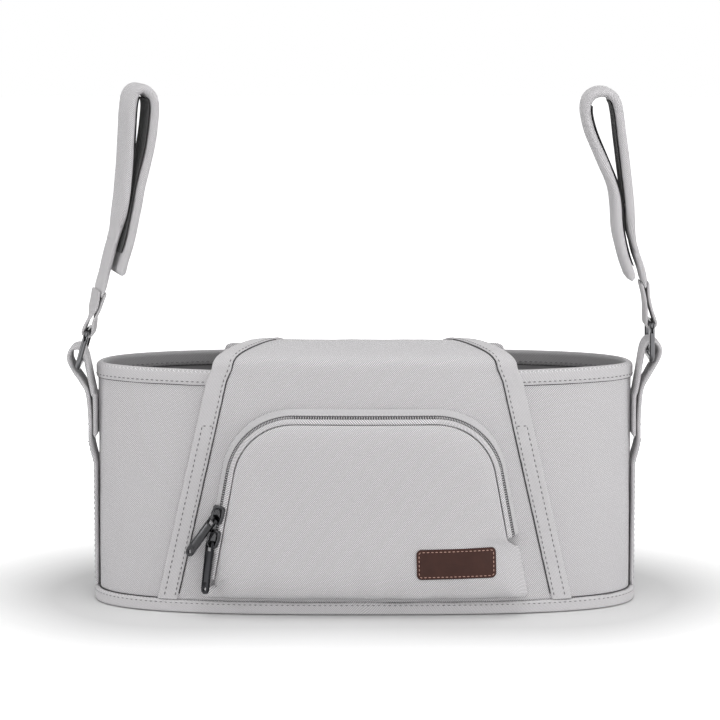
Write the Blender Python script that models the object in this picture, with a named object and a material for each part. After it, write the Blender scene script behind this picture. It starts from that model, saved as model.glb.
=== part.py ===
"""Console bag that straps to a stroller's handlebar, with two cup pockets and a zipped front pocket.

Units are metres and +Z is up. The front faces -Y, left is -X, and the origin is the middle of the
base's underside.
"""
from functools import lru_cache
from math import acos, copysign, cos, hypot, pi, radians, sin, sqrt, tan

import bmesh
import bpy
import numpy as np
from mathutils import Matrix, Vector

# Clearances
GAP = 0.0003

# Body
HALF_LENGTH = 0.1825
HALF_DEPTH = 0.060
FRONT_RIM_DEPTH = 0.051
RIM_HEIGHT = 0.163
WALL = 0.004
WALL_BULGE = 0.0015
BASE_THICKNESS = 0.0035
BASE_POWER = 2.9
FRONT_RIM_POWER = 1.9
BACK_RIM_POWER = 2.7
DIVIDER_PLACE = 0.100
DIVIDER_THICKNESS = 0.004
DIVIDER_DROP = 0.012

# Bindings
TAPE = 0.0009
RIM_TAPE_HEIGHT = 0.010
HEM_THICKNESS = 0.0036
HEM_HEIGHT = 0.0085

# Flap: each station gives its share of the way from front to back, its height over the back tab as a
# share of the crown, its share of the half width at the rim, and its share of the edges' droop
FLAP = 0.0020
FLAP_HALF_FOOT = 0.142
FLAP_HALF_RIM = 0.1055
FLAP_CROWN = 0.0133
FLAP_DROOP = 0.0070
FLAP_BINDING_WIDTH = 0.012
FLAP_STATIONS = (
    (0.000, -0.842, 1.018, 0.000),
    (0.000, -0.015, 0.993, 0.214),
    (0.010, 0.398, 0.978, 0.643),
    (0.040, 0.662, 0.957, 0.929),
    (0.110, 0.850, 0.910, 1.000),
    (0.230, 0.962, 0.848, 0.714),
    (0.380, 1.000, 0.787, 0.343),
    (0.560, 0.925, 0.739, 0.214),
    (0.760, 0.624, 0.706, 0.114),
    (0.900, 0.323, 0.687, 0.029),
    (0.960, 0.180, 0.682, 0.000),
    (1.002, 0.075, 0.678, 0.000),
    (1.018, -0.241, 0.673, 0.000),
    (1.010, -1.143, 0.668, 0.000),
    (1.004, -2.496, 0.664, 0.000),
)
BACK_TAB = 0.003
BACK_TAB_HALF_WIDTH = 0.096
BACK_TAB_RISE = 0.0032
BACK_TAB_DEPTH = 0.060
BACK_TAB_CORNER = 0.014

# Zipped pocket on the flap
POCKET_HALF_FOOT = 0.1105
POCKET_HALF_TOP = 0.087
POCKET_LIFT = 0.0035
POCKET_TOP = 0.1385
POCKET_CORNER = 0.048
POCKET_WALL = 0.0022
POCKET_RISE = 0.0172
POCKET_SQUARENESS = 8
POCKET_FOOT = HEM_HEIGHT + POCKET_LIFT
BAND_WIDTH = 0.0074
BAND_RISE = 0.0138
ZIP_TAPE = 0.0108
ZIP_CHAIN = 0.0026
ZIP_CHAIN_RISE = 0.0013
ZIP_TOOTH_PITCH = 0.0032
ZIP_TOOTH_DIP = 0.0007
ZIP_LEFT_END = 0.026
ZIP_RIGHT_END = 0.055
SEAM_LENGTH = 0.010

# Leather label
LABEL_WIDTH = 0.053
LABEL_HEIGHT = 0.0204
LABEL_THICKNESS = 0.0012
LABEL_CORNER = 0.0033
LABEL_X = 0.061
LABEL_Z = 0.0385
LABEL_TILT = 1.2

# Sliders and pulls
SLIDER_LENGTH = 0.0125
SLIDER_NOSE = 0.0100
SLIDER_TAIL = 0.0076
SLIDER_PLATE = 0.0014
SLIDER_CLEARANCE = 0.0015
SLIDER_SPACING = 0.0035
LOWER_SLIDER_Z = 0.0540
BRIDGE_WIDTH = 0.0015
BRIDGE_THICKNESS = 0.0010
BRIDGE_HALF_SPAN = 0.0038
PULL_LENGTH = 0.0350
PULL_WIDTH = 0.0068
PULL_THICKNESS = 0.0016
PULL_BAR = 0.0013
PULL_BAR_PLACE = -0.0022
PULL_EYE_LENGTH = 0.0062
PULL_EYE_WIDTH = 0.0048
PULL_HOLE = 0.0017
PULL_FRAME = 0.0010
PULL_RECESS = 0.0003
UPPER_PULL_SWING = -31.0
LOWER_PULL_SWING = 7.0
UPPER_PULL_LIFT = 4.0
LOWER_PULL_LIFT = 0.0

# Tabs and rings: each loop is a list of (out, up) from the ring's lower bar, in multiples of the
# tightest radius that a tab can take round the bar
TAB_WIDTH = 0.026
TAB = 0.0030
TAB_FOLD_DROP = 0.054
TAB_STITCHED = 0.015
TAB_SHARES = (0.4, 0.8)
RING_WIRE = 0.0036
RING_CLEARANCE = 0.0026
RING_SPAN = 0.0250
RING_CORNER = 0.0060
RING_SIDES = 8
RING_OUT = 0.0128
LEFT_RING_DROP = 0.0025
RIGHT_RING_DROP = -0.0025
LEFT_RING_LEAN = 16.0
RIGHT_RING_LEAN = 1.0
LEFT_TAB_LOOP = (
    (-1.75, -5.14),
    (-0.64, -2.92),
    (0.89, -0.56),
    (1.72, 1.53),
    (1.17, 3.33),
    (-0.36, 3.61),
    (-1.25, 2.22),
    (-1.78, -0.14),
    (-2.28, -2.92),
    (-2.78, -5.42),
)
RIGHT_TAB_LOOP = (
    (-1.75, -5.97),
    (-0.36, -2.92),
    (1.03, -0.42),
    (1.72, 1.53),
    (1.17, 3.06),
    (-0.36, 3.61),
    (-1.33, 2.36),
    (-1.83, -0.14),
    (-2.28, -3.19),
    (-2.78, -6.25),
)

# Straps: each track is a list of (inward, up) from the ring's upper bar, and the folded end then
# lies along the heights of the closed stretch. The flare and the tapes start and end at shares of
# the strap's length
WEBBING_WIDTH = 0.025
WEBBING = 0.0022
WEBBING_SEAM = 0.016
WEBBING_NECK = 3
WEBBING_WRAP = (-100, -50, 0, 50, 100)
STRAP_WIDTH = 0.038
STRAP_NECK_WIDTH = 0.028
STRAP = 0.0052
STRAP_FLARE = (0.03, 0.10)
HOOK_TAPE = 0.0007
HOOK_TAPE_WIDTH = 0.034
HOOK_TAPE_SHARES = (0.11, 0.60)
CLOSED_GAP = 0.0012
LEFT_STRAP_TURN = 10.0
RIGHT_STRAP_TURN = 0.0
LEFT_STRAP_TRACK = (
    (0.0100, 0.0360),
    (0.0118, 0.0440),
    (0.0150, 0.0560),
    (0.0192, 0.0700),
    (0.0230, 0.0900),
    (0.0252, 0.1100),
    (0.0268, 0.1320),
    (0.0283, 0.1530),
    (0.0308, 0.1620),
    (0.0360, 0.1650),
    (0.0412, 0.1620),
    (0.0438, 0.1555),
    (0.0432, 0.1440),
    (0.0402, 0.1240),
    (0.0345, 0.1020),
)
LEFT_CLOSED_HEIGHTS = (0.0800, 0.0640, 0.0490, 0.0410)
LEFT_STRAP_START = 0.0590
RIGHT_STRAP_TRACK = (
    (0.0050, 0.0290),
    (0.0068, 0.0370),
    (0.0110, 0.0490),
    (0.0145, 0.0640),
    (0.0160, 0.0820),
    (0.0188, 0.1040),
    (0.0218, 0.1260),
    (0.0240, 0.1430),
    (0.0262, 0.1510),
    (0.0310, 0.1560),
    (0.0375, 0.1565),
    (0.0435, 0.1530),
    (0.0460, 0.1450),
    (0.0430, 0.1310),
    (0.0355, 0.1130),
    (0.0275, 0.0940),
)
RIGHT_CLOSED_HEIGHTS = (0.0780, 0.0620, 0.0470, 0.0350, 0.0290)
RIGHT_STRAP_START = 0.0480

# Looks
FABRIC = ((0.56, 0.56, 0.58), 0.85, 0.0)
TRIM = ((0.60, 0.60, 0.62), 0.80, 0.0)
LINING = ((0.30, 0.30, 0.32), 0.90, 0.0)
LEATHER = ((0.075, 0.026, 0.018), 0.55, 0.0)
METAL = ((0.05, 0.05, 0.055), 0.20, 1.0)
HOOKS = ((0.012, 0.012, 0.013), 0.95, 0.0)

# Steps round the body, up its walls, up the pocket's legs, round its corners and round small corners
AROUND = 72
LEVELS = 4
LEG_STEPS = 8
ARC_STEPS = 8
CORNER_STEPS = 4
HOLE_SIDES = 12

# Rows and columns of the flap, rows of the pocket's band, and rings of its panel and label as shares
# of the way out
FLAP_ROWS = 7
FLAP_COLUMNS = 14
BAND_ROWS = 3
PANEL_SHARES = (0.2, 0.5, 0.72, 0.85, 0.93, 0.98, 1.0)
LABEL_SHARES = (0.3, 0.7, 1.0)
LABEL_SPANS = 5

# Steps between two points of a curve, for tables that are read between their rows, and for slopes
TRACK_STEPS = 3
FOLD_STEPS = 2
DENSE_STEPS = 40
NORMAL_STEP = 0.004


def clear_scene():
    for thing in list(bpy.data.objects):
        bpy.data.objects.remove(thing)


def build(name, bm, look, origin=(0, 0, 0)):
    """Turns a bmesh into a named object whose own material has the given look."""
    bmesh.ops.recalc_face_normals(bm, faces=bm.faces)
    bmesh.ops.translate(bm, verts=bm.verts, vec=-Vector(origin))
    mesh = bpy.data.meshes.new(name)
    bm.to_mesh(mesh)
    bm.free()
    mesh.shade_smooth()
    mesh.set_sharp_from_angle(angle=radians(40))
    thing = bpy.data.objects.new(name, mesh)
    thing.location = origin
    bpy.context.collection.objects.link(thing)
    colour, roughness, metallic = look
    material = bpy.data.materials.new(name)
    material.use_nodes = True
    shader = material.node_tree.nodes["Principled BSDF"]
    shader.inputs["Base Color"].default_value = (*colour, 1)
    shader.inputs["Roughness"].default_value = roughness
    shader.inputs["Metallic"].default_value = metallic
    mesh.materials.append(material)
    return thing


def skin(rings, closed=False):
    """Bridges matching closed rings of points; a row that doesn't meet itself is capped."""
    bm = bmesh.new()
    loops = []
    for ring in rings:
        verts = [bm.verts.new(point) for point in ring]
        loops.append([bm.edges.new(pair) for pair in zip(verts, verts[1:] + verts[:1])])
    followers = loops[1:] + loops[:1] if closed else loops[1:]
    for here, there in zip(loops, followers):
        bmesh.ops.bridge_loops(bm, edges=here + there)
    if not closed:
        bmesh.ops.contextual_create(bm, geom=loops[0])
        bmesh.ops.contextual_create(bm, geom=loops[-1])
    return bm


def grid(columns, rows, place):
    """A sheet of quads laid on place(u, v), with u and v from 0 to 1."""
    bm = bmesh.new()
    bmesh.ops.create_grid(bm, x_segments=columns, y_segments=rows, size=0.5)
    for vert in bm.verts:
        vert.co = place(vert.co.x + 0.5, vert.co.y + 0.5)
    return bm


def thicken(thing, thickness):
    """Grows a sheet along its normals into a closed solid."""
    modifier = thing.modifiers.new("thickness", "SOLIDIFY")
    modifier.thickness = thickness
    modifier.offset = 1
    modifier.use_even_offset = True


def combine(thing, other, operation):
    """Cuts or joins another object into this one, which keeps its name."""
    other.hide_render = True
    other.display_type = "WIRE"
    modifier = thing.modifiers.new(other.name, "BOOLEAN")
    modifier.object = other
    modifier.operation = operation
    modifier.solver = "EXACT"


def smooth(points, steps):
    """A curve through every point, with the given number of steps between two of them."""
    points = [Vector(point) for point in points]
    padded = [2 * points[0] - points[1], *points, 2 * points[-1] - points[-2]]
    curve = []
    for before, start, end, after in zip(padded, padded[1:], padded[2:], padded[3:]):
        for step in range(steps):
            t = step / steps
            pull = (end - before) * (t - 2 * t**2 + t**3) + (after - start) * (t**3 - t**2)
            curve.append(start + (end - start) * (3 * t**2 - 2 * t**3) + pull / 2)
    return curve + [points[-1]]


def ease(low, high, value):
    """0 below low, 1 above high, and an even S between them."""
    share = min(max((value - low) / (high - low), 0), 1)
    return share * share * (3 - 2 * share)


# Body outline


def outline_at(z, side):
    """Half length, depth and squareness of the body's front (side below 0) or back half at a height."""
    share = min(max(z / RIM_HEIGHT, 0), 1)
    rim_depth, rim_power = (FRONT_RIM_DEPTH, FRONT_RIM_POWER) if side < 0 else (HALF_DEPTH, BACK_RIM_POWER)
    depth = HALF_DEPTH + (rim_depth - HALF_DEPTH) * share + WALL_BULGE * sin(pi * share)
    return HALF_LENGTH, depth, BASE_POWER + (rim_power - BASE_POWER) * share


def wall_normal(x, y, z):
    length, depth, power = outline_at(z, y)
    slope_x = copysign(abs(x / length) ** (power - 1) / length, x)
    slope_y = copysign(abs(y / depth) ** (power - 1) / depth, y)
    return Vector((slope_x, slope_y, 0)).normalized()


def wall_point(turn, z, out=0.0):
    """Point at an angle round the body's outer face, moved out from it in plan."""
    length, depth, power = outline_at(z, sin(turn))
    x = length * copysign(abs(cos(turn)) ** (2 / power), cos(turn))
    y = depth * copysign(abs(sin(turn)) ** (2 / power), sin(turn))
    return Vector((x, y, z)) + wall_normal(x, y, z) * out


def even_turns(count, start, stop):
    """Angles that part the outline between two angles into even lengths."""
    dense = np.linspace(start, stop, AROUND * DENSE_STEPS)
    points = np.array([wall_point(turn, RIM_HEIGHT / 2) for turn in dense])
    run = np.append(0, np.cumsum(np.linalg.norm(np.diff(points, axis=0), axis=1)))
    return np.interp(np.linspace(0, run[-1], count), run, dense)


def face_y(x, z, out, side):
    """Depth of the front (side -1) or back (side 1) face at x, moved out from it."""
    length, depth, power = outline_at(z, side)
    y = side * depth * (1 - min(abs(x) / length, 0.999) ** power) ** (1 / power)
    return y + side * out / abs(wall_normal(x, y, z).y)


# Walls, base and bindings


def make_wall(name, turns):
    """Half of the padded wall, from one side seam to the other."""
    top = RIM_HEIGHT - TAPE - GAP
    foot = BASE_THICKNESS + GAP
    heights = np.linspace(foot, top, LEVELS)
    rings = []
    for turn in turns:
        outer = [wall_point(turn, z) for z in heights]
        inner = [wall_point(turn, z, -WALL) for z in heights[::-1]]
        rings.append(outer + inner)
    build(name, skin(rings), FABRIC)


def half_turns():
    """Angles along the front and the back half of the body, which meet at a seam on each end."""
    _, depth, power = outline_at(0, 0)
    half_seam = (GAP / 2 / depth) ** (power / 2)
    front = even_turns(AROUND // 2, -pi + half_seam, -half_seam)
    return front, even_turns(AROUND // 2, half_seam, pi - half_seam)


def make_base():
    rings = [[wall_point(turn, z) for turn in np.append(*half_turns())] for z in (0, BASE_THICKNESS)]
    for point in rings[1]:
        point.z = BASE_THICKNESS
    build("base_panel", skin(rings), LINING)


def make_ring_band(name, section, look):
    """Sweeps a section of (out, height) points once round the body."""
    rings = [[wall_point(turn, z, out) for out, z in section] for turn in np.append(*half_turns())]
    build(name, skin(rings, closed=True), look)


def make_bindings():
    outer = GAP + TAPE
    inner = -WALL - GAP - TAPE
    shoulder = RIM_HEIGHT - 2 * TAPE
    foot = RIM_HEIGHT - RIM_TAPE_HEIGHT
    under = RIM_HEIGHT - TAPE
    rim = (
        (outer, foot),
        (outer, shoulder),
        (outer - 2 * TAPE, RIM_HEIGHT),
        (inner + 2 * TAPE, RIM_HEIGHT),
        (inner, shoulder),
        (inner, foot),
        (inner + TAPE, foot),
        (inner + TAPE, under),
        (outer - TAPE, under),
        (outer - TAPE, foot),
    )
    make_ring_band("rim_binding", rim, TRIM)
    edge = GAP + HEM_THICKNESS
    hem = (
        (GAP, GAP),
        (edge - TAPE, GAP),
        (edge, GAP + TAPE),
        (edge, HEM_HEIGHT - TAPE),
        (edge - TAPE, HEM_HEIGHT),
        (GAP, HEM_HEIGHT),
    )
    make_ring_band("hem_binding", hem, TRIM)


def make_divider(name, side):
    """Padded wall between the middle compartment and a cup pocket."""
    x = side * DIVIDER_PLACE
    far = abs(x) + DIVIDER_THICKNESS / 2
    rings = []
    for z in np.linspace(BASE_THICKNESS + GAP, RIM_HEIGHT - DIVIDER_DROP, LEVELS):
        front = face_y(far, z, -WALL - GAP, -1)
        back = face_y(far, z, -WALL - GAP, 1)
        left = x - DIVIDER_THICKNESS / 2
        right = x + DIVIDER_THICKNESS / 2
        rings.append([(left, front, z), (right, front, z), (right, back, z), (left, back, z)])
    build(name, skin(rings), LINING)


# Flap


def flap_track():
    """Rows from the hem up the front, over the top and down the back."""
    foot = HEM_HEIGHT + GAP
    crest = RIM_HEIGHT + BACK_TAB_RISE
    fold = []
    for way, rise, wide, drop in FLAP_STATIONS:
        fold.append((way, crest + FLAP_CROWN * rise, FLAP_HALF_RIM * wide, FLAP_DROOP * drop))
    _, top, half, _ = fold[0]
    front = []
    for share in np.linspace(0, 1, FLAP_ROWS)[:-1]:
        z = foot + (top - foot) * share
        front.append(Vector((0, z, FLAP_HALF_FOOT + (half - FLAP_HALF_FOOT) * share, 0)))
    return front + smooth(fold, FOLD_STEPS)


def standoff(z):
    """Distance from the wall to the flap's inner face, which clears the rim binding."""
    return 2 * GAP + TAPE * ease(RIM_HEIGHT / 2, RIM_HEIGHT - RIM_TAPE_HEIGHT, z)


@lru_cache
def flap_inner(u, v):
    """Point of the flap's inner face: u across from -1 to 1, v along the track from 0 to 1."""
    place = v * (len(TRACK) - 1)
    row = min(int(place), len(TRACK) - 2)
    way, z, half, drop = TRACK[row].lerp(TRACK[row + 1], place - row)
    x = u * half
    front = face_y(x, z, standoff(z), -1)
    back = face_y(x, z, 3 * GAP + TAPE + BACK_TAB, 1)
    return Vector((x, front + (back - front) * way, z - drop * u**4))


def flap_point(u, v, out):
    """Point over the flap's inner face, along its normal."""
    step = NORMAL_STEP
    across = flap_inner(u + step, v) - flap_inner(u - step, v)
    along = flap_inner(u, min(v + step, 1)) - flap_inner(u, max(v - step, 0))
    return flap_inner(u, v) + across.cross(along).normalized() * out


def flap_face(x, z):
    """Depth of the flap's outer face on the front."""
    return face_y(x, z, standoff(z) + FLAP, -1)


def make_flap():
    """Flap sewn to the front, folded over the top, with a tape along each side edge."""
    rows = len(TRACK) - 1
    sheet = grid(FLAP_COLUMNS, rows, lambda u, v: flap_inner(2 * u - 1, v))
    bmesh.ops.recalc_face_normals(sheet, faces=sheet.faces)
    thing = build("flap", sheet, FABRIC)
    thicken(thing, FLAP)
    for name, side in (("flap_binding_left", -1), ("flap_binding_right", 1)):
        rings = []
        for row in range(rows + 1):
            v = row / rows
            half = TRACK[row][2]
            section = (
                (-GAP - TAPE, 0),
                (-GAP - TAPE, FLAP + GAP + TAPE),
                (FLAP_BINDING_WIDTH, FLAP + GAP + TAPE),
                (FLAP_BINDING_WIDTH, FLAP + GAP),
                (-GAP, FLAP + GAP),
                (-GAP, 0),
            )
            rings.append([flap_point(side * (1 - inset / half), v, out) for inset, out in section])
        build(name, skin(rings), TRIM)


def make_back_tab():
    """Raised tab behind the back wall, which the flap's end closes over."""
    top = RIM_HEIGHT + BACK_TAB_RISE
    foot = RIM_HEIGHT - BACK_TAB_DEPTH
    near = 2 * GAP + TAPE
    rounds = BACK_TAB_HALF_WIDTH - BACK_TAB_CORNER * (1 - np.cos(np.linspace(0, pi / 2, ARC_STEPS)))
    columns = [*-rounds, *np.linspace(-rounds[-1], rounds[-1], FLAP_COLUMNS)[1:-1], *rounds[::-1]]
    rings = []
    for x in columns:
        past = max(abs(x) - rounds[-1], 0)
        crown = top - BACK_TAB_CORNER + sqrt(max(BACK_TAB_CORNER**2 - past**2, 0))
        heights = np.linspace(foot, crown, LEVELS)
        inner = [(x, face_y(x, z, near, 1), z) for z in heights]
        outer = [(x, face_y(x, z, near + BACK_TAB, 1), z) for z in heights[::-1]]
        rings.append(inner + outer)
    build("back_tab", skin(rings), FABRIC)


# Zipped pocket


@lru_cache
def pocket_path(inset):
    """The pocket's outline from its left foot over the top to its right foot, moved inwards."""
    foot = Vector((POCKET_HALF_FOOT, POCKET_FOOT))
    corner = Vector((POCKET_HALF_TOP, POCKET_TOP))
    leg = (corner - foot).normalized()
    inward = Vector((-leg.y, leg.x))
    lean = acos(leg.y)
    start = corner - leg * POCKET_CORNER * tan((pi / 2 - lean) / 2)
    centre = start + inward * POCKET_CORNER
    rise = (start - foot).length
    right = [foot + leg * (rise * step / LEG_STEPS) + inward * inset for step in range(LEG_STEPS)]
    for angle in np.linspace(lean, pi / 2, ARC_STEPS):
        right.append(centre + Vector((cos(angle), sin(angle))) * (POCKET_CORNER - inset))
    top = np.linspace(-centre.x, centre.x, ARC_STEPS)[1:-1]
    left = [Vector((-point.x, point.y)) for point in right]
    return left + [Vector((x, POCKET_TOP - inset)) for x in top] + right[::-1]


@lru_cache
def band_section():
    """Runs up the band's quarter-ellipse section, with the angles that they reach."""
    turns = np.linspace(0, pi / 2, DENSE_STEPS)
    arc = np.array([(BAND_WIDTH * (1 - cos(turn)), BAND_RISE * sin(turn)) for turn in turns])
    return np.append(0, np.cumsum(np.linalg.norm(np.diff(arc, axis=0), axis=1))), turns


def band_profile(run):
    """(inset, rise) and outward normal after a run up the band's section."""
    turn = np.interp(run, *band_section())
    at = Vector((BAND_WIDTH * (1 - cos(turn)), BAND_RISE * sin(turn)))
    return at, Vector((-BAND_RISE * cos(turn), BAND_WIDTH * sin(turn))).normalized()


def pocket_point(station, inset, rise):
    """Point at a station of the pocket's outline, inset from it and raised off the flap."""
    path = pocket_path(round(inset, 6))
    low = min(int(station), len(path) - 2)
    x, z = path[low].lerp(path[low + 1], station - low)
    return Vector((x, flap_face(x, z) - rise, z))


def band_point(station, run, out):
    at, normal = band_profile(run)
    inset, rise = at + normal * out
    return pocket_point(station, inset, rise)


def zip_stations():
    """Stations between the zip's two ends."""
    path = pocket_path(0)
    middle = len(path) // 2
    left = [i for i in range(middle) if path[i].y >= ZIP_LEFT_END]
    right = [i for i in range(middle, len(path)) if path[i].y >= ZIP_RIGHT_END]
    return left + right


def make_band():
    """Tape, chain of teeth and facing that run together round the pocket."""
    chain = ZIP_TAPE + GAP
    facing = chain + ZIP_CHAIN + GAP
    end = band_section()[0][-1] - GAP
    strips = (("zip_tape", GAP, ZIP_TAPE, TRIM), ("zip_facing", facing, end, FABRIC))
    for name, start, stop, look in strips:
        runs = np.linspace(start, stop, BAND_ROWS)
        rings = []
        for station in zip_stations():
            outer = [band_point(station, run, 0) for run in runs]
            inner = [band_point(station, run, -TAPE) for run in runs[::-1]]
            rings.append(outer + inner)
        build(name, skin(rings), look)
    make_teeth(chain)


def make_teeth(start):
    """Chain whose crest steps up and down once for each tooth."""
    stations = zip_stations()
    spots = [band_point(station, start, 0) for station in stations]
    run = np.append(0, np.cumsum([(b - a).length for a, b in zip(spots, spots[1:])]))
    steps = 2 * int(run[-1] / ZIP_TOOTH_PITCH)
    rings = []
    for step, place in enumerate(np.linspace(0, run[-1], steps + 1)):
        station = np.interp(place, run, stations)
        crest = ZIP_CHAIN_RISE - ZIP_TOOTH_DIP * (step % 2)
        stop = start + ZIP_CHAIN
        section = ((start, -TAPE), (start, crest), (stop, crest), (stop, -TAPE))
        rings.append([band_point(station, run, out) for run, out in section])
    build("zip_chain", skin(rings), TRIM)


@lru_cache
def panel_edge():
    """Stations of the front panel's edge: (x, z, rise), clear of the zip and sewn down below it."""
    outer = pocket_path(GAP)
    zipped = pocket_path(BAND_WIDTH + GAP)
    middle = len(outer) / 2
    edge = []
    for station, (wide, narrow) in enumerate(zip(outer, zipped)):
        end = ZIP_LEFT_END if station < middle else ZIP_RIGHT_END
        share = ease(end - SEAM_LENGTH, end - 3 * GAP, wide.y)
        x, z = wide.lerp(narrow, share)
        edge.append((x, z, GAP + (BAND_RISE - GAP) * share))
    x_left, z_left, _ = edge[0]
    x_right = edge[-1][0]
    for share in np.linspace(1, 0, 2 * ARC_STEPS)[1:-1]:
        edge.append((x_left + (x_right - x_left) * share, z_left, GAP))
    return edge


def panel_rise(edge_rise, share, top):
    """Rise of the panel at a share of the way from its middle to its edge."""
    return edge_rise + (top - edge_rise) * sqrt(1 - share**POCKET_SQUARENESS)


def make_pocket():
    """Front panel of the pocket, padded and slightly domed."""
    edge = panel_edge()
    centre = Vector((0, (POCKET_FOOT + POCKET_TOP) / 2))
    rings = []
    for wall, order in ((POCKET_WALL, PANEL_SHARES), (0, PANEL_SHARES[::-1])):
        for share in order:
            ring = []
            for x, z, rise in edge:
                spot = Vector((x, z)) - centre
                spot = centre + spot * (1 - wall / spot.length) * share
                lift = panel_rise(rise, share, POCKET_RISE - wall)
                ring.append((spot.x, flap_face(*spot) - lift, spot.y))
            rings.append(ring)
    build("pocket_front", skin(rings), FABRIC)


def panel_face(x, z):
    """Depth of the pocket panel's outer face."""
    centre = Vector((0, (POCKET_FOOT + POCKET_TOP) / 2))
    spot = Vector((x, z)) - centre
    edge = panel_edge()
    angles = np.array([np.arctan2(ez - centre.y, ex) for ex, ez, _ in edge])
    reach = np.array([hypot(ex, ez - centre.y) for ex, ez, _ in edge])
    rises = np.array([rise for _, _, rise in edge])
    angle = np.arctan2(spot.y, spot.x)
    share = spot.length / np.interp(angle, angles, reach, period=2 * pi)
    rise = panel_rise(np.interp(angle, angles, rises, period=2 * pi), min(share, 1), POCKET_RISE)
    return flap_face(x, z) - rise


def rounded_box(width, height, corner, spans=1):
    """Points of a flat rounded rectangle, with its straight sides parted into spans."""
    points = []
    for quarter, (right, up) in enumerate(((1, 1), (-1, 1), (-1, -1), (1, -1))):
        centre = Vector((right * (width / 2 - corner), up * (height / 2 - corner)))
        for angle in np.linspace(quarter * pi / 2, (quarter + 1) * pi / 2, CORNER_STEPS + 1):
            points.append(centre + Vector((cos(angle), sin(angle))) * corner)
        side = Vector((-2 * centre.x, 0)) if quarter % 2 == 0 else Vector((0, -2 * centre.y))
        points += [points[-1] + side * (step / spans) for step in range(1, spans)]
    return points


def make_label():
    """Bare leather label sewn on the pocket's front."""
    edge = rounded_box(LABEL_WIDTH, LABEL_HEIGHT, LABEL_CORNER, LABEL_SPANS)
    tilt = radians(LABEL_TILT)
    rings = []
    for out, shares in ((GAP, LABEL_SHARES), (GAP + LABEL_THICKNESS, LABEL_SHARES[::-1])):
        for share in shares:
            ring = []
            for point in edge:
                x = LABEL_X + (point.x * cos(tilt) - point.y * sin(tilt)) * share
                z = LABEL_Z + (point.x * sin(tilt) + point.y * cos(tilt)) * share
                ring.append((x, panel_face(x, z) - out, z))
            rings.append(ring)
    build("leather_label", skin(rings), LEATHER)


# Sliders and pulls


def slider_frame(height):
    """Place on the band at a height of the left leg, with its up, across and out axes."""
    path = pocket_path(0.0)
    heights = [point.y for point in path[: LEG_STEPS + 1]]
    run = ZIP_TAPE + GAP + ZIP_CHAIN / 2
    spot, start, end = [
        band_point(np.interp(z, heights, range(LEG_STEPS + 1)), run, 0)
        for z in (height, LOWER_SLIDER_Z, LOWER_SLIDER_Z + 2 * SLIDER_LENGTH)
    ]
    up = (end - start).normalized()
    inset, rise = band_profile(run)[1]
    leg = (path[1] - path[0]).normalized()
    out = Vector((inset * leg.y, -rise, -inset * leg.x))
    across = up.cross(out).normalized()
    return spot, up, across, across.cross(up)


def place_in(frame, along, across, out):
    spot, up, side, normal = frame
    return spot + up * along + side * across + normal * out


def flat_solid(frame, outline, low, high):
    """Extrudes an outline of (across, along) points between two heights over a frame."""
    return skin([[place_in(frame, y, x, out) for x, y in outline] for out in (low, high)])


def make_slider(name, height):
    """Slider body with a channel for the teeth and a bridge that carries the pull."""
    frame = slider_frame(height)
    half = SLIDER_LENGTH / 2
    nose = SLIDER_NOSE / 2
    tail = SLIDER_TAIL / 2
    corner = SLIDER_PLATE
    right = [(tail - corner, -half), (tail, corner - half), (nose, 0)]
    right += [(nose, half - corner), (nose - corner, half)]
    outline = right + [(-x, y) for x, y in reversed(right)]
    plate_foot = ZIP_CHAIN_RISE + GAP
    plate_top = plate_foot + SLIDER_PLATE
    body = build(name, flat_solid(frame, outline, GAP, plate_top), METAL, frame[0])
    wide = ZIP_CHAIN / 2 + SLIDER_CLEARANCE
    gate = [(-wide, -SLIDER_LENGTH), (wide, -SLIDER_LENGTH), (wide, SLIDER_LENGTH), (-wide, SLIDER_LENGTH)]
    channel = build(name + "_channel", flat_solid(frame, gate, -GAP, plate_foot), METAL, frame[0])
    combine(body, channel, "DIFFERENCE")
    bridge = build(name + "_bridge", make_bridge(frame, plate_top), METAL, frame[0])
    combine(body, bridge, "UNION")
    return frame, plate_top


def make_bridge(frame, foot):
    """Arched strip along the slider's top, tall enough for the pull's bar to turn in."""
    span = BRIDGE_HALF_SPAN
    crown = foot + PULL_THICKNESS + 6 * GAP
    shoulder = foot + PULL_THICKNESS + 2 * GAP
    arch = [(-span, foot - GAP), (-span, shoulder), (-span / 2, crown)]
    arch = [Vector(point) for point in arch + [(-along, out) for along, out in reversed(arch)]]
    rings = []
    for index, here in enumerate(arch):
        before = arch[max(index - 1, 0)]
        after = arch[min(index + 1, len(arch) - 1)]
        way = (after - before).normalized()
        over = here + Vector((-way.y, way.x)) * BRIDGE_THICKNESS
        half = BRIDGE_WIDTH / 2
        ring = [(here, -half), (here, half), (over, half), (over, -half)]
        rings.append([place_in(frame, point.x, side, point.y) for point, side in ring])
    return skin(rings)


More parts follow.
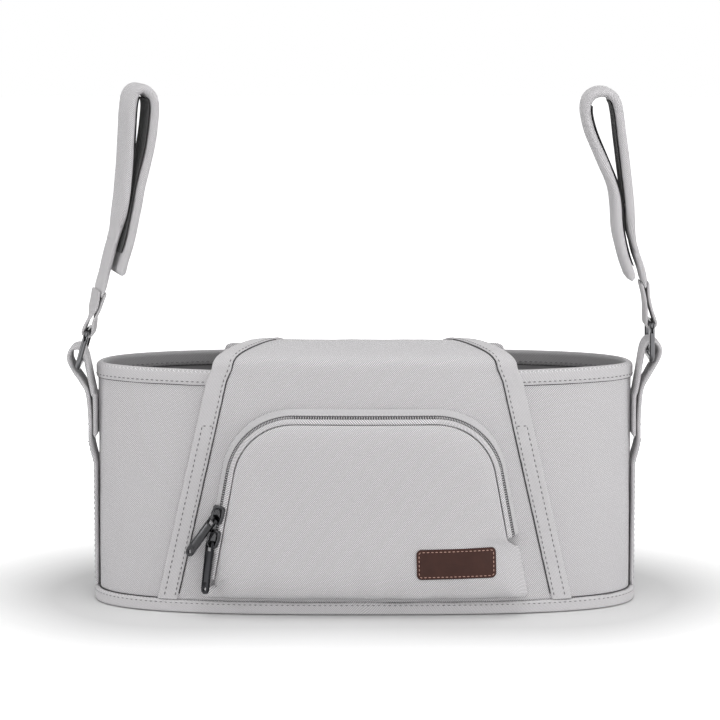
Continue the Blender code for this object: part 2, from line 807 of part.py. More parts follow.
def make_pull(name, frame, plate_top, swing, lift):
    """Flat pull on the bar across its eye, swung aside in its own plane and lifted off the slider."""
    _, up, side, normal = frame
    pivot = place_in(frame, PULL_BAR_PLACE, 0, plate_top + 2 * GAP + PULL_THICKNESS / 2)
    turn = radians(swing)
    flat = side * sin(turn) - up * cos(turn)
    raised = radians(lift)
    down = flat * cos(raised) + normal * sin(raised)
    out = normal * cos(raised) - flat * sin(raised)
    local = (pivot, down, down.cross(out), out)
    radius = PULL_WIDTH / 2
    length = PULL_LENGTH - radius
    thick = PULL_THICKNESS / 2
    bar = PULL_BAR / 2
    half_turn = np.linspace(-pi / 2, pi / 2, 2 * CORNER_STEPS + 1)
    tip = [(radius * sin(angle), length + radius * cos(angle)) for angle in half_turn]
    outline = tip + [(radius, 0), (radius - bar, -bar), (bar - radius, -bar), (-radius, 0)]
    body = build(name, flat_solid(local, outline, -thick, thick), METAL, pivot)
    slot = PULL_EYE_WIDTH / 2
    eye = [(-slot, bar), (slot, bar), (slot, PULL_EYE_LENGTH), (-slot, PULL_EYE_LENGTH)]
    full_turn = np.linspace(0, 2 * pi, HOLE_SIDES + 1)[:-1]
    hole = [(PULL_HOLE * cos(angle), length - PULL_HOLE * sin(angle)) for angle in full_turn]
    edge = radius - PULL_FRAME
    top = PULL_EYE_LENGTH + PULL_FRAME
    foot = length - radius - PULL_FRAME
    panel = [(-edge, top), (edge, top), (edge, foot), (-edge, foot)]
    cuts = (("eye", eye, -PULL_WIDTH), ("hole", hole, -PULL_WIDTH), ("panel", panel, thick - PULL_RECESS))
    for word, shape, depth in cuts:
        cutter = flat_solid(local, shape, depth, PULL_WIDTH)
        combine(body, build(f"{name}_{word}", cutter, METAL, pivot), "DIFFERENCE")


# Tabs, rings and straps


def soft_section(width, thickness):
    """Flat strip's section with eased edges, as (across, out) points."""
    bevel = thickness / 3
    wide, high = width / 2, thickness / 2
    corner = [(wide - bevel, high), (wide, high - bevel), (wide, bevel - high), (wide - bevel, -high)]
    return corner + [(-x, -y) for x, y in corner]


def flat_section(width, thickness):
    """Thin tape's plain section, as (across, out) points."""
    wide, high = width / 2, thickness / 2
    return [(-wide, high), (wide, high), (wide, -high), (-wide, -high)]


def strip_rings(track, widths, thickness, turns=None, shift=0.0, section=flat_section):
    """Rings of a strip along (x, z) points, with a width and a turn about Z for each of them."""
    rings = []
    last = len(track) - 1
    for index, here in enumerate(track):
        way = (track[min(index + 1, last)] - track[max(index - 1, 0)]).normalized()
        turn = radians(turns[index]) if turns else 0
        across = Vector((sin(turn), cos(turn), 0))
        normal = Vector((way.x, 0, way.y)).cross(across).normalized()
        spot = Vector((here.x, 0, here.y)) + normal * shift
        rings.append([spot + across * x + normal * y for x, y in section(widths[index], thickness)])
    return rings


def tab_track(side, loop, bar):
    """A tab's track: up the end wall, round the ring's lower bar and back down behind itself."""
    near = GAP + TAB / 2
    far = near + GAP + TAB
    foot = HEM_HEIGHT + 2 * GAP
    fold = RIM_HEIGHT - TAB_FOLD_DROP
    reach = RING_WIRE / 2 + GAP + TAB / 2
    flat = [foot] + [fold * share for share in TAB_SHARES] + [fold - TAB_STITCHED]
    outer = [(near, z) for z in flat] + [(far, fold), (far, fold + TAB_STITCHED)]
    loose = [(RING_OUT + out * reach, bar + up * reach) for out, up in loop]
    inner = [(near, fold + 2 * TAB_STITCHED), (near, fold + TAB)]
    return smooth([(side * (HALF_LENGTH + out), z) for out, z in outer + loose + inner], TRACK_STEPS)


def make_ring(name, pivot, lean, side):
    """Rounded wire ring whose lower bar lies on its pivot."""
    wire = RING_WIRE / 2
    width = max(TAB_WIDTH, WEBBING_WIDTH) + 2 * RING_CLEARANCE + RING_WIRE
    centre_line = rounded_box(width, RING_SPAN, RING_CORNER)
    tilt = radians(lean) * -side
    rings = []
    last = len(centre_line)
    for index, point in enumerate(centre_line):
        way = (centre_line[(index + 1) % last] - centre_line[index - 1]).normalized()
        outward = Vector((way.y, -way.x))
        ring = []
        for angle in np.linspace(0, 2 * pi, RING_SIDES + 1)[:-1]:
            flat = point + outward * wire * cos(angle)
            spot = Vector((wire * sin(angle), flat.x, flat.y + RING_SPAN / 2))
            ring.append(pivot + Matrix.Rotation(tilt, 3, "Y") @ spot)
        rings.append(ring)
    build(name, skin(rings, closed=True), METAL, pivot)


def beside(track, index, distance):
    """Point at a distance to the right of the track, seen along it."""
    way = (track[min(index + 1, len(track) - 1)] - track[max(index - 1, 0)]).normalized()
    return track[index] + Vector((way.y, -way.x)) * distance


def strap_track(side, top_bar, points, closed_heights, start):
    """A strap's track and the webbing's under it: up, round the open loop and back down along itself."""
    rise = smooth(points, TRACK_STEPS)
    pitch = STRAP + 2 * (HOOK_TAPE + GAP) + CLOSED_GAP
    heights = [point.y for point in rise]
    closed = []
    for height in closed_heights:
        index = next(i for i, z in enumerate(heights) if z >= height)
        closed.append(beside(rise, index, pitch))
    whole = smooth([*points, *closed], TRACK_STEPS)
    first = next(i for i, point in enumerate(whole) if point.y >= start)
    track = [Vector((top_bar.x - side * inward, top_bar.z + up)) for inward, up in whole]
    return track[first:], track[: first + 1]


def make_strap(side, word, top_bar, points, closed_heights, start, turn):
    """Padded strap folded back on itself, with the tapes that close it."""
    track, stem = strap_track(side, top_bar, points, closed_heights, start)
    count = len(track)
    shares = [index / (count - 1) for index in range(count)]
    flare = STRAP_WIDTH - STRAP_NECK_WIDTH
    widths = [STRAP_NECK_WIDTH + flare * ease(*STRAP_FLARE, share) for share in shares]
    turns = [-side * turn] * count
    rings = strip_rings(track, widths, STRAP, turns, section=soft_section)
    build(f"{word}_strap", skin(rings), FABRIC, top_bar)
    shift = side * (STRAP / 2 + GAP + HOOK_TAPE / 2)
    foot, middle = [round(count * share) for share in HOOK_TAPE_SHARES]
    for kind, first, last in (("loop", foot, middle), ("hook", middle + 1, count - 1)):
        part = slice(first, last)
        widths = [HOOK_TAPE_WIDTH] * (last - first)
        rings = strip_rings(track[part], widths, HOOK_TAPE, turns[part], shift)
        build(f"{word}_{kind}_tape", skin(rings), HOOKS, top_bar)
    make_webbing(side, word, top_bar, track, stem, turn)


def make_webbing(side, word, top_bar, strap, stem, turn):
    """Webbing sewn on the strap's outer face and looped round the ring's upper bar."""
    lay = side * (STRAP / 2 + GAP + WEBBING / 2)
    bar = Vector((top_bar.x, top_bar.z))
    lean = (stem[0] - bar).normalized()
    cross = Vector((lean.y, -lean.x)) * side
    radius = RING_WIRE / 2 + GAP + WEBBING / 2
    apart = cross * (WEBBING + GAP) / 2
    neck = bar + lean * radius * WEBBING_NECK
    seam = neck + lean * WEBBING_SEAM
    loop = [beside(strap, 4, lay), beside(strap, 2, lay), beside(strap, 0, lay)]
    loop += stem[-3:0:-2] + [stem[0]]
    loop += [seam - apart, neck - apart]
    for angle in WEBBING_WRAP:
        way = radians(angle)
        loop.append(bar + (cross * sin(way) - lean * cos(way)) * radius)
    loop += [neck + apart, seam + apart]
    track = smooth(loop, TRACK_STEPS)
    turns = [-side * turn * ease(neck.y, strap[0].y, point.y) for point in track]
    rings = strip_rings(track, [WEBBING_WIDTH] * len(track), WEBBING, turns)
    build(f"{word}_webbing", skin(rings), TRIM, top_bar)


def make_side(word, side, loop, drop, lean, points, closed_heights, start, turn):
    """Tab, ring and strap at one end of the body."""
    axis = Vector((side * (HALF_LENGTH + RING_OUT), 0, RIM_HEIGHT - drop))
    track = tab_track(side, loop, axis.z)
    build(f"{word}_tab", skin(strip_rings(track, [TAB_WIDTH] * len(track), TAB)), TRIM)
    make_ring(f"{word}_ring", axis, lean, side)
    tilt = radians(lean)
    top_bar = axis + Vector((-side * sin(tilt), 0, cos(tilt))) * RING_SPAN
    make_strap(side, word, top_bar, points, closed_heights, start, turn)


clear_scene()
TRACK = flap_track()
for name, turns in zip(("front_wall", "back_wall"), half_turns()):
    make_wall(name, turns)
make_base()
make_bindings()
make_divider("left_divider", -1)
make_divider("right_divider", 1)
make_flap()
make_back_tab()
make_band()
make_pocket()
make_label()
lower, deck = make_slider("lower_slider", LOWER_SLIDER_Z)
upper, deck = make_slider("upper_slider", LOWER_SLIDER_Z + SLIDER_LENGTH + SLIDER_SPACING)
make_pull("lower_pull", lower, deck, LOWER_PULL_SWING, LOWER_PULL_LIFT)
make_pull("upper_pull", upper, deck, UPPER_PULL_SWING, UPPER_PULL_LIFT)
make_side(
    word="left",
    side=-1,
    loop=LEFT_TAB_LOOP,
    drop=LEFT_RING_DROP,
    lean=LEFT_RING_LEAN,
    points=LEFT_STRAP_TRACK,
    closed_heights=LEFT_CLOSED_HEIGHTS,
    start=LEFT_STRAP_START,
    turn=LEFT_STRAP_TURN,
)
make_side(
    word="right",
    side=1,
    loop=RIGHT_TAB_LOOP,
    drop=RIGHT_RING_DROP,
    lean=RIGHT_RING_LEAN,
    points=RIGHT_STRAP_TRACK,
    closed_heights=RIGHT_CLOSED_HEIGHTS,
    start=RIGHT_STRAP_START,
    turn=RIGHT_STRAP_TURN,
)
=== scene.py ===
# %% [markdown]
# A stroller organizer in Blender
#
# This lesson dresses a plain model of a fabric console bag: padded walls, a flap folded over the top, a
# domed pocket with a two-way zip, and two straps that hold it on a handlebar. The plain model gives every
# size and every joint. Each cell below makes one piece or one finish, and says how it could be made and
# why this way was chosen.

from functools import lru_cache
from math import acos, atan2, copysign, cos, hypot, pi, radians, sin, sqrt, tan

import bmesh
import bpy
from mathutils import Matrix, Vector, noise


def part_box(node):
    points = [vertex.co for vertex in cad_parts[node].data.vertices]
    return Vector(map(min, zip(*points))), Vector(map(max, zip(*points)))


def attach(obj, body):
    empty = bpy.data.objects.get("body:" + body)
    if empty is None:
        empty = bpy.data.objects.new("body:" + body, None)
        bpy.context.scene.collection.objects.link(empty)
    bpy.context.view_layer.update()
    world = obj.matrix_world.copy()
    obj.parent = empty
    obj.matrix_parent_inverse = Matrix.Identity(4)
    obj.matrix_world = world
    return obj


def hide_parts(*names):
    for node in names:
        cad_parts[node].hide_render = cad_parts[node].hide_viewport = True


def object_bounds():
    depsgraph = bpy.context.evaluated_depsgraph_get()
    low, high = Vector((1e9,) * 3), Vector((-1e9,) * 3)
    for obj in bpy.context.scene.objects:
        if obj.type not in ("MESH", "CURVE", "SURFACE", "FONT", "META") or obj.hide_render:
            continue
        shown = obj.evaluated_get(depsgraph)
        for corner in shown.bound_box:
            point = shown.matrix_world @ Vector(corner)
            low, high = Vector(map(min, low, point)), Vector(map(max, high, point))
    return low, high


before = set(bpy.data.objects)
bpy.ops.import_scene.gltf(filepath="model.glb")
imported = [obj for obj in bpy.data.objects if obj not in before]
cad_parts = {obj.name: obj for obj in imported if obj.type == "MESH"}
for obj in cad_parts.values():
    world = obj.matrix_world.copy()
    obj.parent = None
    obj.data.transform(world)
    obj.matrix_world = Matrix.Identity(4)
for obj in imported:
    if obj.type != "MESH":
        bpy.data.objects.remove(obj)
plain_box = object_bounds()

# %% [markdown]
# Camera first. The photograph is taken with a long lens from a little above the bag, looking straight at
# its front. A lens that is tilted down makes upright edges lean together towards the floor, as they do in
# the photograph, so the camera is tilted and its frame isn't shifted.

# %% Camera
CAMERA_PLACE = (-0.0031, -1.854, 0.450)
CAMERA_PITCH = 8.78
CAMERA_LENS = 136.9

camera_data = bpy.data.cameras.new("camera")
camera_data.lens = CAMERA_LENS
camera_data.sensor_width = 36.0
bpy.context.scene.view_settings.view_transform = "Standard"
camera = bpy.data.objects.new("camera", camera_data)
camera.location = CAMERA_PLACE
camera.rotation_euler = (radians(90 - CAMERA_PITCH), 0, 0)
bpy.context.scene.collection.objects.link(camera)
bpy.context.scene.camera = camera
print("camera at", CAMERA_PLACE)

# %% [markdown]
# Light. A product photograph on white has one broad soft light from above and in front, and weaker light
# from both sides and from behind, so the shadow under the bag is pale and blurred. Polished metal would
# mirror the front and back lights as white squares, so those two are hidden from it.

# %% Lights
MIDDLE = (0, 0, 0.12)
LIGHTS = (
    ("top_light", (0.1, -0.4, 1.9), 1.6, 16),
    ("right_light", (1.9, -0.9, 0.7), 1.2, 17),
    ("left_light", (-1.9, -0.7, 0.7), 1.2, 13),
    ("front_light", (0.4, -2.2, 0.9), 1.5, 13),
    ("back_light", (0.4, 2.2, 1.0), 1.5, 8),
)
HIDDEN_FROM_METAL = ("front_light", "back_light")
for name, place, size, power in LIGHTS:
    data = bpy.data.lights.new(name, "AREA")
    data.shape = "SQUARE"
    data.size = size
    data.energy = power
    light = bpy.data.objects.new(name, data)
    light.location = place
    light.rotation_euler = (Vector(MIDDLE) - Vector(place)).to_track_quat("-Z", "Y").to_euler()
    light.visible_glossy = name not in HIDDEN_FROM_METAL
    bpy.context.scene.collection.objects.link(light)
print(len(LIGHTS), "area lights")

# %% [markdown]
# Nodes. The world, the floor and every finish are small networks of nodes. Adding and joining them one by
# one takes many lines, so two short helpers do it: an input is given as a number, or as the output that
# feeds it.

# %% Helpers for nodes


def set_inputs(node, inputs):
    """Sets inputs by name, or by number as n0, n1 and so on; an output given as a value is linked."""
    for key, value in inputs.items():
        by_number = key[0] == "n" and key[1:].isdigit()
        socket = node.inputs[int(key[1:]) if by_number else key]
        if isinstance(value, bpy.types.NodeSocket):
            node.id_data.links.new(value, socket)
        else:
            socket.default_value = value
    return node


def node_tools(tree):
    """Short ways to add a node to a tree, and to add a Math node and take its output."""

    def add_node(kind, settings=None, **inputs):
        node = tree.nodes.new("ShaderNode" + kind)
        for key, value in (settings or {}).items():
            setattr(node, key, value)
        return set_inputs(node, inputs)

    def calculate(operation, *values):
        inputs = {f"n{index}": value for index, value in enumerate(values)}
        return add_node("Math", {"operation": operation}, **inputs).outputs[0]

    return add_node, calculate


def seen_directly(add_node, calculate):
    """1 for rays from the camera, and for those that metal or glass sends on."""
    path = add_node("LightPath").outputs
    mirrored = calculate("MAXIMUM", path["Is Camera Ray"], path["Is Glossy Ray"])
    return calculate("MAXIMUM", mirrored, path["Is Transmission Ray"])


print("node helpers ready")

# %% [markdown]
# The world. Cloth gets an even grey light from all sides. The camera sees pure white, which is the
# picture's background. Metal sees a room that gets darker towards the front, because polished wire looks
# like metal only where it has something dark to mirror.

# %% World
AMBIENT = 0.36
DARK_WAY, BRIGHT_WAY = -0.3, 0.5
DARKEST = 0.08

world = bpy.data.worlds.new("studio")
bpy.context.scene.world = world
world.use_nodes = True
world.node_tree.nodes.clear()
add_node, calculate = node_tools(world.node_tree)
way = add_node("SeparateXYZ", n0=add_node("TexCoord").outputs["Generated"]).outputs["Y"]
span = {"From Min": DARK_WAY, "From Max": BRIGHT_WAY, "To Min": DARKEST}
fade = add_node("MapRange", Value=way, **span)
to_camera = add_node("LightPath").outputs["Is Camera Ray"]
brightness = calculate("MAXIMUM", fade.outputs["Result"], to_camera)
backdrop = add_node("Background", Color=(1, 1, 1, 1), Strength=brightness)
ambient = add_node("Background", Strength=AMBIENT)
direct = seen_directly(add_node, calculate)
mix = add_node("MixShader", Fac=direct, n1=ambient.outputs[0], n2=backdrop.outputs[0])
add_node("OutputWorld", Surface=mix.outputs[0])
print("world strength", AMBIENT)

# %% [markdown]
# The floor is a pale disc that takes the bag's shadow. Close to the bag it is only lit. Further out it
# also glows for the camera, so the shadow fades into pure white. The distance is measured from a line
# along the bag and not from a point, because the shadow is as long as the bag.

# %% Floor
FLOOR_RADIUS = 6.0
FLOOR_DROP = 0.0003
FLOOR_GREY = 0.74
FLOOR_CORE = 0.12
FLOOR_NEAR = 0.095
FLOOR_FAR = 0.28

paint = bpy.data.materials.new("floor")
paint.use_nodes = True
paint.node_tree.nodes.clear()
add_node, calculate = node_tools(paint.node_tree)
where = add_node("SeparateXYZ", n0=add_node("TexCoord").outputs["Object"]).outputs
beyond = calculate("MAXIMUM", calculate("SUBTRACT", calculate("ABSOLUTE", where["X"]), FLOOR_CORE), 0.0)
flat = add_node("CombineXYZ", X=beyond, Y=where["Y"]).outputs[0]
away = add_node("VectorMath", {"operation": "LENGTH"}, n0=flat).outputs["Value"]
span = {"From Min": FLOOR_NEAR, "From Max": FLOOR_FAR}
glow = add_node("MapRange", Value=away, **span).outputs["Result"]
strength = calculate("MULTIPLY", glow, seen_directly(add_node, calculate))
lift = add_node("Emission", Strength=strength).outputs[0]
shade = add_node("BsdfDiffuse", Color=(FLOOR_GREY, FLOOR_GREY, FLOOR_GREY, 1)).outputs[0]
add_node("OutputMaterial", Surface=add_node("AddShader", n0=shade, n1=lift).outputs[0])

bm = bmesh.new()
bmesh.ops.create_circle(bm, cap_ends=True, segments=64, radius=FLOOR_RADIUS)
floor_mesh = bpy.data.meshes.new("floor")
bm.to_mesh(floor_mesh)
bm.free()
floor_mesh.materials.append(paint)
floor = bpy.data.objects.new("floor", floor_mesh)
floor.location.z = -FLOOR_DROP
bpy.context.scene.collection.objects.link(floor)
print("floor", 2 * FLOOR_RADIUS, "m across")

# %% [markdown]
# Materials. The bag is cut from one heather-grey twill. Under a lens its threads make fine diagonal lines,
# about a millimetre apart, a little uneven in tone. Two crossed wave patterns on the piece's own UV map,
# which is in metres, give those lines their true size on every piece, and noise breaks up the tone. The
# same helper with other numbers makes the plainer binding tape, the lining and the webbing.

# %% Woven cloth
WAVE_PERIOD = 2 * pi / 20
CROSSING = 74.0
CROSS_SHARE = 0.72


def new_material(name):
    """A material, its Principled shader, and the short ways to add nodes to it."""
    material = bpy.data.materials.new(name)
    material.use_nodes = True
    return material, material.node_tree.nodes["Principled BSDF"], *node_tools(material.node_tree)


def woven(name, colour, pitch, contrast, bump, turn=45.0, roughness=0.85, heather=0.06, sheen=0.25):
    """Cloth of crossed threads; pitch is the distance between two diagonal lines in metres."""
    material, shader, add_node, calculate = new_material(name)
    where = add_node("UVMap", {"uv_map": "metres"}).outputs["UV"]
    waves = []
    for angle, share in ((turn, 1.0), (turn + CROSSING, CROSS_SHARE)):
        aim = add_node("Mapping", Vector=where, Rotation=(0, 0, radians(angle))).outputs[0]
        scale = WAVE_PERIOD / (pitch * share)
        wave = add_node("TexWave", {"wave_type": "BANDS"}, Vector=aim, Scale=scale, Distortion=0.0)
        waves.append(wave.outputs["Fac"])
    weave = calculate("MULTIPLY", *waves)
    cloud = add_node("TexNoise", Vector=where, Scale=900.0, Detail=3.0).outputs["Fac"]
    tone = calculate("MULTIPLY_ADD", cloud, heather * 2, -heather)
    line = calculate("MULTIPLY_ADD", weave, contrast * 2, -contrast / 2)
    gain = calculate("ADD", calculate("ADD", line, tone), 1.0)
    tint = add_node("VectorMath", {"operation": "SCALE"}, n0=colour, Scale=gain).outputs[0]
    depth = add_node("Bump", Height=weave, Distance=bump, Strength=0.6).outputs[0]
    set_inputs(shader, {"Base Color": tint, "Normal": depth, "Roughness": roughness})
    set_inputs(shader, {"Specular IOR Level": 0.25, "Sheen Weight": sheen, "Sheen Roughness": 0.5})
    return material


TWILL = woven("grey_twill", (0.550, 0.538, 0.550), 0.00100, 0.80, 0.00014, heather=0.10)
TAPE = woven("binding_tape", (0.560, 0.548, 0.558), 0.0009, 0.40, 0.00008, turn=30.0, heather=0.08)
# A darker copy of the binding tape for its inward faces: painted shade.
TAPE_PAINTED_SHADE = woven("binding_painted_shade", (0.330, 0.323, 0.330), 0.0010, 0.34, 0.00008, turn=30.0)
LINING = woven("lining_cloth", (0.27, 0.265, 0.27), 0.0009, 0.16, 0.00006, turn=0.0, sheen=0.1)
WEBBING_CLOTH = woven("webbing_weave", (0.52, 0.508, 0.517), 0.0013, 0.40, 0.00018, turn=38.0)
ZIP_CLOTH = woven("zip_tape_weave", (0.52, 0.51, 0.52), 0.0010, 0.50, 0.00012, turn=60.0)
NAP = woven("hook_and_loop", (0.010, 0.010, 0.011), 0.0014, 0.5, 0.0004, roughness=0.95, sheen=0.3)
print("woven cloths:", TWILL.name, TAPE.name, LINING.name, WEBBING_CLOTH.name, ZIP_CLOTH.name, NAP.name)

# %% [markdown]
# The hard finishes. The rings, sliders and pulls are polished gunmetal, so they are metallic with a low
# roughness, and faint noise keeps the reflection from looking like plastic. The label is leather: a
# fine cell pattern gives the grain, and the dye varies softly. Thread and zip teeth are plain, with a
# tone that is a little uneven. The grey stitch thread is made much darker than the cloth, as painted
# shade of the dimples it sits in, and a near-black finish is painted shade for grooves and under the
# teeth.

# %% Metal, leather, thread and nylon


def noise_between(add_node, where, scale, detail, low, high):
    """Noise of a scale, spread between two values."""
    cloud = add_node("TexNoise", Vector=where, Scale=scale, Detail=detail).outputs["Fac"]
    return add_node("MapRange", Value=cloud, **{"To Min": low, "To Max": high}).outputs["Result"]


def gunmetal(name, colour, roughness):
    """Polished metal with a roughness that varies faintly."""
    material, shader, add_node, _ = new_material(name)
    where = add_node("TexCoord").outputs["Object"]
    smear = noise_between(add_node, where, 420.0, 4.0, roughness * 0.7, roughness * 1.5)
    set_inputs(shader, {"Roughness": smear, "Base Color": (*colour, 1), "Metallic": 1.0})
    return material


def grained_leather(name, colour):
    """Leather with a fine cell grain and a soft change of dye."""
    material, shader, add_node, _ = new_material(name)
    where = add_node("TexCoord").outputs["Object"]
    grain = add_node("TexVoronoi", {"feature": "DISTANCE_TO_EDGE"}, Vector=where, Scale=1400.0)
    dye = noise_between(add_node, where, 160.0, 5.0, 0.75, 1.25)
    tint = add_node("VectorMath", {"operation": "SCALE"}, n0=colour, Scale=dye).outputs[0]
    depth = add_node("Bump", Height=grain.outputs["Distance"], Distance=0.0002, Strength=0.5).outputs[0]
    set_inputs(shader, {"Base Color": tint, "Normal": depth})
    set_inputs(shader, {"Roughness": 0.55, "Specular IOR Level": 0.3})
    return material


def plain_finish(name, colour, roughness, sheen=0.0):
    """One colour with a faint change of tone, for thread and nylon."""
    material, shader, add_node, _ = new_material(name)
    where = add_node("TexCoord").outputs["Object"]
    tone = noise_between(add_node, where, 1500.0, 2.0, 0.85, 1.15)
    tint = add_node("VectorMath", {"operation": "SCALE"}, n0=colour, Scale=tone).outputs[0]
    set_inputs(shader, {"Base Color": tint, "Roughness": roughness, "Sheen Weight": sheen})
    return material


METAL = gunmetal("gunmetal", (0.12, 0.12, 0.125), 0.11)
BLACK_METAL = gunmetal("black_gunmetal", (0.03, 0.03, 0.033), 0.11)
LEATHER = grained_leather("brown_leather", (0.048, 0.018, 0.013))
# Thread darkened well below the cloth's own grey: painted shade of the dimples where stitches sit.
THREAD_PAINTED_SHADE = plain_finish("grey_thread_painted_shade", (0.17, 0.165, 0.17), 0.7)
# Near-black painted shade, laid in the grooves beside tapes and under the zip teeth.
SHADE = plain_finish("painted_groove_shade", (0.075, 0.073, 0.075), 0.9)
LABEL_THREAD = plain_finish("tan_thread", (0.50, 0.29, 0.23), 0.7, 0.2)
COIL = plain_finish("nylon_coil", (0.50, 0.49, 0.50), 0.35)
print("hard finishes:", METAL.name, LEATHER.name)

# %% [markdown]
# The body's outline. Seen from above the bag is a long rounded shape, squarer at the base than at the rim.
# A superellipse describes it with three numbers, and everything else lies on that surface: the walls, the
# tapes, the flap and the pocket. Its angles are spaced by length, so that cloth on it isn't stretched.

# %% Outline of the body
HALF_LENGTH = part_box("front_wall")[1][0]
RIM_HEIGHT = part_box("rim_binding")[1][2]
HALF_DEPTH = 0.060
FRONT_RIM_DEPTH = 0.051
WALL = 0.004
WALL_BULGE = 0.0015
BASE_POWER = 2.9
FRONT_RIM_POWER = 1.9
BACK_RIM_POWER = 2.7
GAP = 0.0003
TAPE_THICKNESS = 0.0009


def outline_at(z, side):
    """Half length, depth and squareness of the body's front (side below 0) or back half at a height."""
    share = min(max(z / RIM_HEIGHT, 0), 1)
    rim_depth, rim_power = (FRONT_RIM_DEPTH, FRONT_RIM_POWER) if side < 0 else (HALF_DEPTH, BACK_RIM_POWER)
    depth = HALF_DEPTH + (rim_depth - HALF_DEPTH) * share + WALL_BULGE * sin(pi * share)
    return HALF_LENGTH, depth, BASE_POWER + (rim_power - BASE_POWER) * share


def wall_normal(x, y, z):
    length, depth, power = outline_at(z, y)
    slope_x = copysign(abs(x / length) ** (power - 1) / length, x)
    slope_y = copysign(abs(y / depth) ** (power - 1) / depth, y)
    return Vector((slope_x, slope_y, 0)).normalized()


def wall_point(turn, z, out=0.0):
    """Point at an angle round the body's outer face, moved out from it in plan."""
    length, depth, power = outline_at(z, sin(turn))
    x = length * copysign(abs(cos(turn)) ** (2 / power), cos(turn))
    y = depth * copysign(abs(sin(turn)) ** (2 / power), sin(turn))
    return Vector((x, y, z)) + wall_normal(x, y, z) * out


def face_y(x, z, out, side):
    """Depth of the front (side -1) or back (side 1) face at x, moved out from it."""
    length, depth, power = outline_at(z, side)
    y = side * depth * (1 - min(abs(x) / length, 0.999) ** power) ** (1 / power)
    return y + side * out / abs(wall_normal(x, y, z).y)


def spread(low, high, steps):
    """Even values from low to high."""
    return [low + (high - low) * step / steps for step in range(steps + 1)]


TURNS = spread(0, 2 * pi, 2400)
RUNS = [0.0]
for low, high in zip(TURNS, TURNS[1:]):
    step = wall_point(high, RIM_HEIGHT / 2) - wall_point(low, RIM_HEIGHT / 2)
    RUNS.append(RUNS[-1] + step.length)
GIRTH = RUNS[-1]


def between(value, places, values):
    """Reads a rising table of places at a value, in a straight line between its points."""
    low, high = 0, len(places) - 1
    while high - low > 1:
        middle = (low + high) // 2
        low, high = (middle, high) if places[middle] <= value else (low, middle)
    span = places[high] - places[low]
    share = min(max((value - places[low]) / span, 0), 1) if span else 0
    return values[low] + (values[high] - values[low]) * share


def turn_at(share):
    """Angle at a share of the body's girth, from the right end over the back, left end and front."""
    return between((share % 1.0) * GIRTH, RUNS, TURNS)


print(f"girth {GIRTH * 1000:.0f} mm")

# %% [markdown]
# Laying cloth. A sheet starts as a flat grid of quads, and each of its points is then laid on the surface
# by a rule place(u, v), with u and v from 0 to 1. The rule also says where the point lies on the cloth in
# metres, which becomes the UV map that the weaves read. A tube is the same grid rolled up: its two edges
# meet and are merged. The grid operator does the counting of faces, so the rule is all that differs.

# %% Helpers for cloth pieces


def ripple(x, y, seed=0.0):
    """Gentle unevenness of cloth, from about -1 to 1."""
    return noise.noise(Vector((x, y, seed))) + 0.4 * noise.noise(Vector((2.3 * x, 2.3 * y, seed + 7)))


def lay(columns, rows, place, rolled=False, looped=False):
    """Lays a grid by place(u, v), which gives a point and its place on the cloth in metres."""
    bm = bmesh.new()
    metres = bm.loops.layers.uv.new("metres")
    bmesh.ops.create_grid(bm, x_segments=columns, y_segments=rows, size=0.5)
    flat = {}
    for vert in bm.verts:
        vert.co, flat[vert] = place(vert.co.x + 0.5, vert.co.y + 0.5)
    for face in bm.faces:
        for loop in face.loops:
            loop[metres].uv = flat[loop.vert]
    if rolled or looped:
        bmesh.ops.remove_doubles(bm, verts=bm.verts, dist=1e-6)
    if rolled and not looped:
        ends = [edge for edge in bm.edges if edge.is_boundary]
        bmesh.ops.holes_fill(bm, edges=ends)
    if rolled:
        bmesh.ops.recalc_face_normals(bm, faces=bm.faces)
    return bm


def face_away(bm, inside):
    """Turns an open sheet so that its faces look away from a point."""
    middle = Vector(inside)
    if sum(face.normal.dot(face.calc_center_median() - middle) for face in bm.faces) < 0:
        bmesh.ops.reverse_faces(bm, faces=bm.faces)
    return bm


def make_piece(name, bm, body, look, nodes=(), crease=50.0):
    """Turns a bmesh into a piece that rides on a body and stands for its plain nodes."""
    bm.normal_update()
    mesh = bpy.data.meshes.new(name)
    bm.to_mesh(mesh)
    bm.free()
    mesh.shade_smooth()
    mesh.set_sharp_from_angle(angle=radians(crease))
    piece = bpy.data.objects.new(name, mesh)
    bpy.context.scene.collection.objects.link(piece)
    for material in look if isinstance(look, (list, tuple)) else [look]:
        mesh.materials.append(material)
    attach(piece, body)
    if nodes:
        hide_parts(*nodes)
    return piece


def thicken(piece, thickness, offset, lined=0):
    """Gives a sheet its thickness; the other side takes the material that is so many slots on."""
    modifier = piece.modifiers.new("thickness", "SOLIDIFY")
    modifier.thickness = thickness
    modifier.offset = offset
    modifier.use_even_offset = True
    modifier.material_offset = lined


def smooth(points, steps):
    """A curve through every point, with the given number of steps between two of them."""
    points = [Vector(point) for point in points]
    padded = [2 * points[0] - points[1], *points, 2 * points[-1] - points[-2]]
    curve = []
    for before, start, end, after in zip(padded, padded[1:], padded[2:], padded[3:]):
        for step in range(steps):
            t = step / steps
            pull = (end - before) * (t - 2 * t**2 + t**3) + (after - start) * (t**3 - t**2)
            curve.append(start + (end - start) * (3 * t**2 - 2 * t**3) + pull / 2)
    return curve + [points[-1]]


def ease(low, high, value):
    """0 below low, 1 above high, and an even S between them."""
    share = min(max((value - low) / (high - low), 0), 1)
    return share * share * (3 - 2 * share)


def lengths(points):
    """Running length along a row of points."""
    runs = [0.0]
    for here, there in zip(points, points[1:]):
        runs.append(runs[-1] + (there - here).length)
    return runs


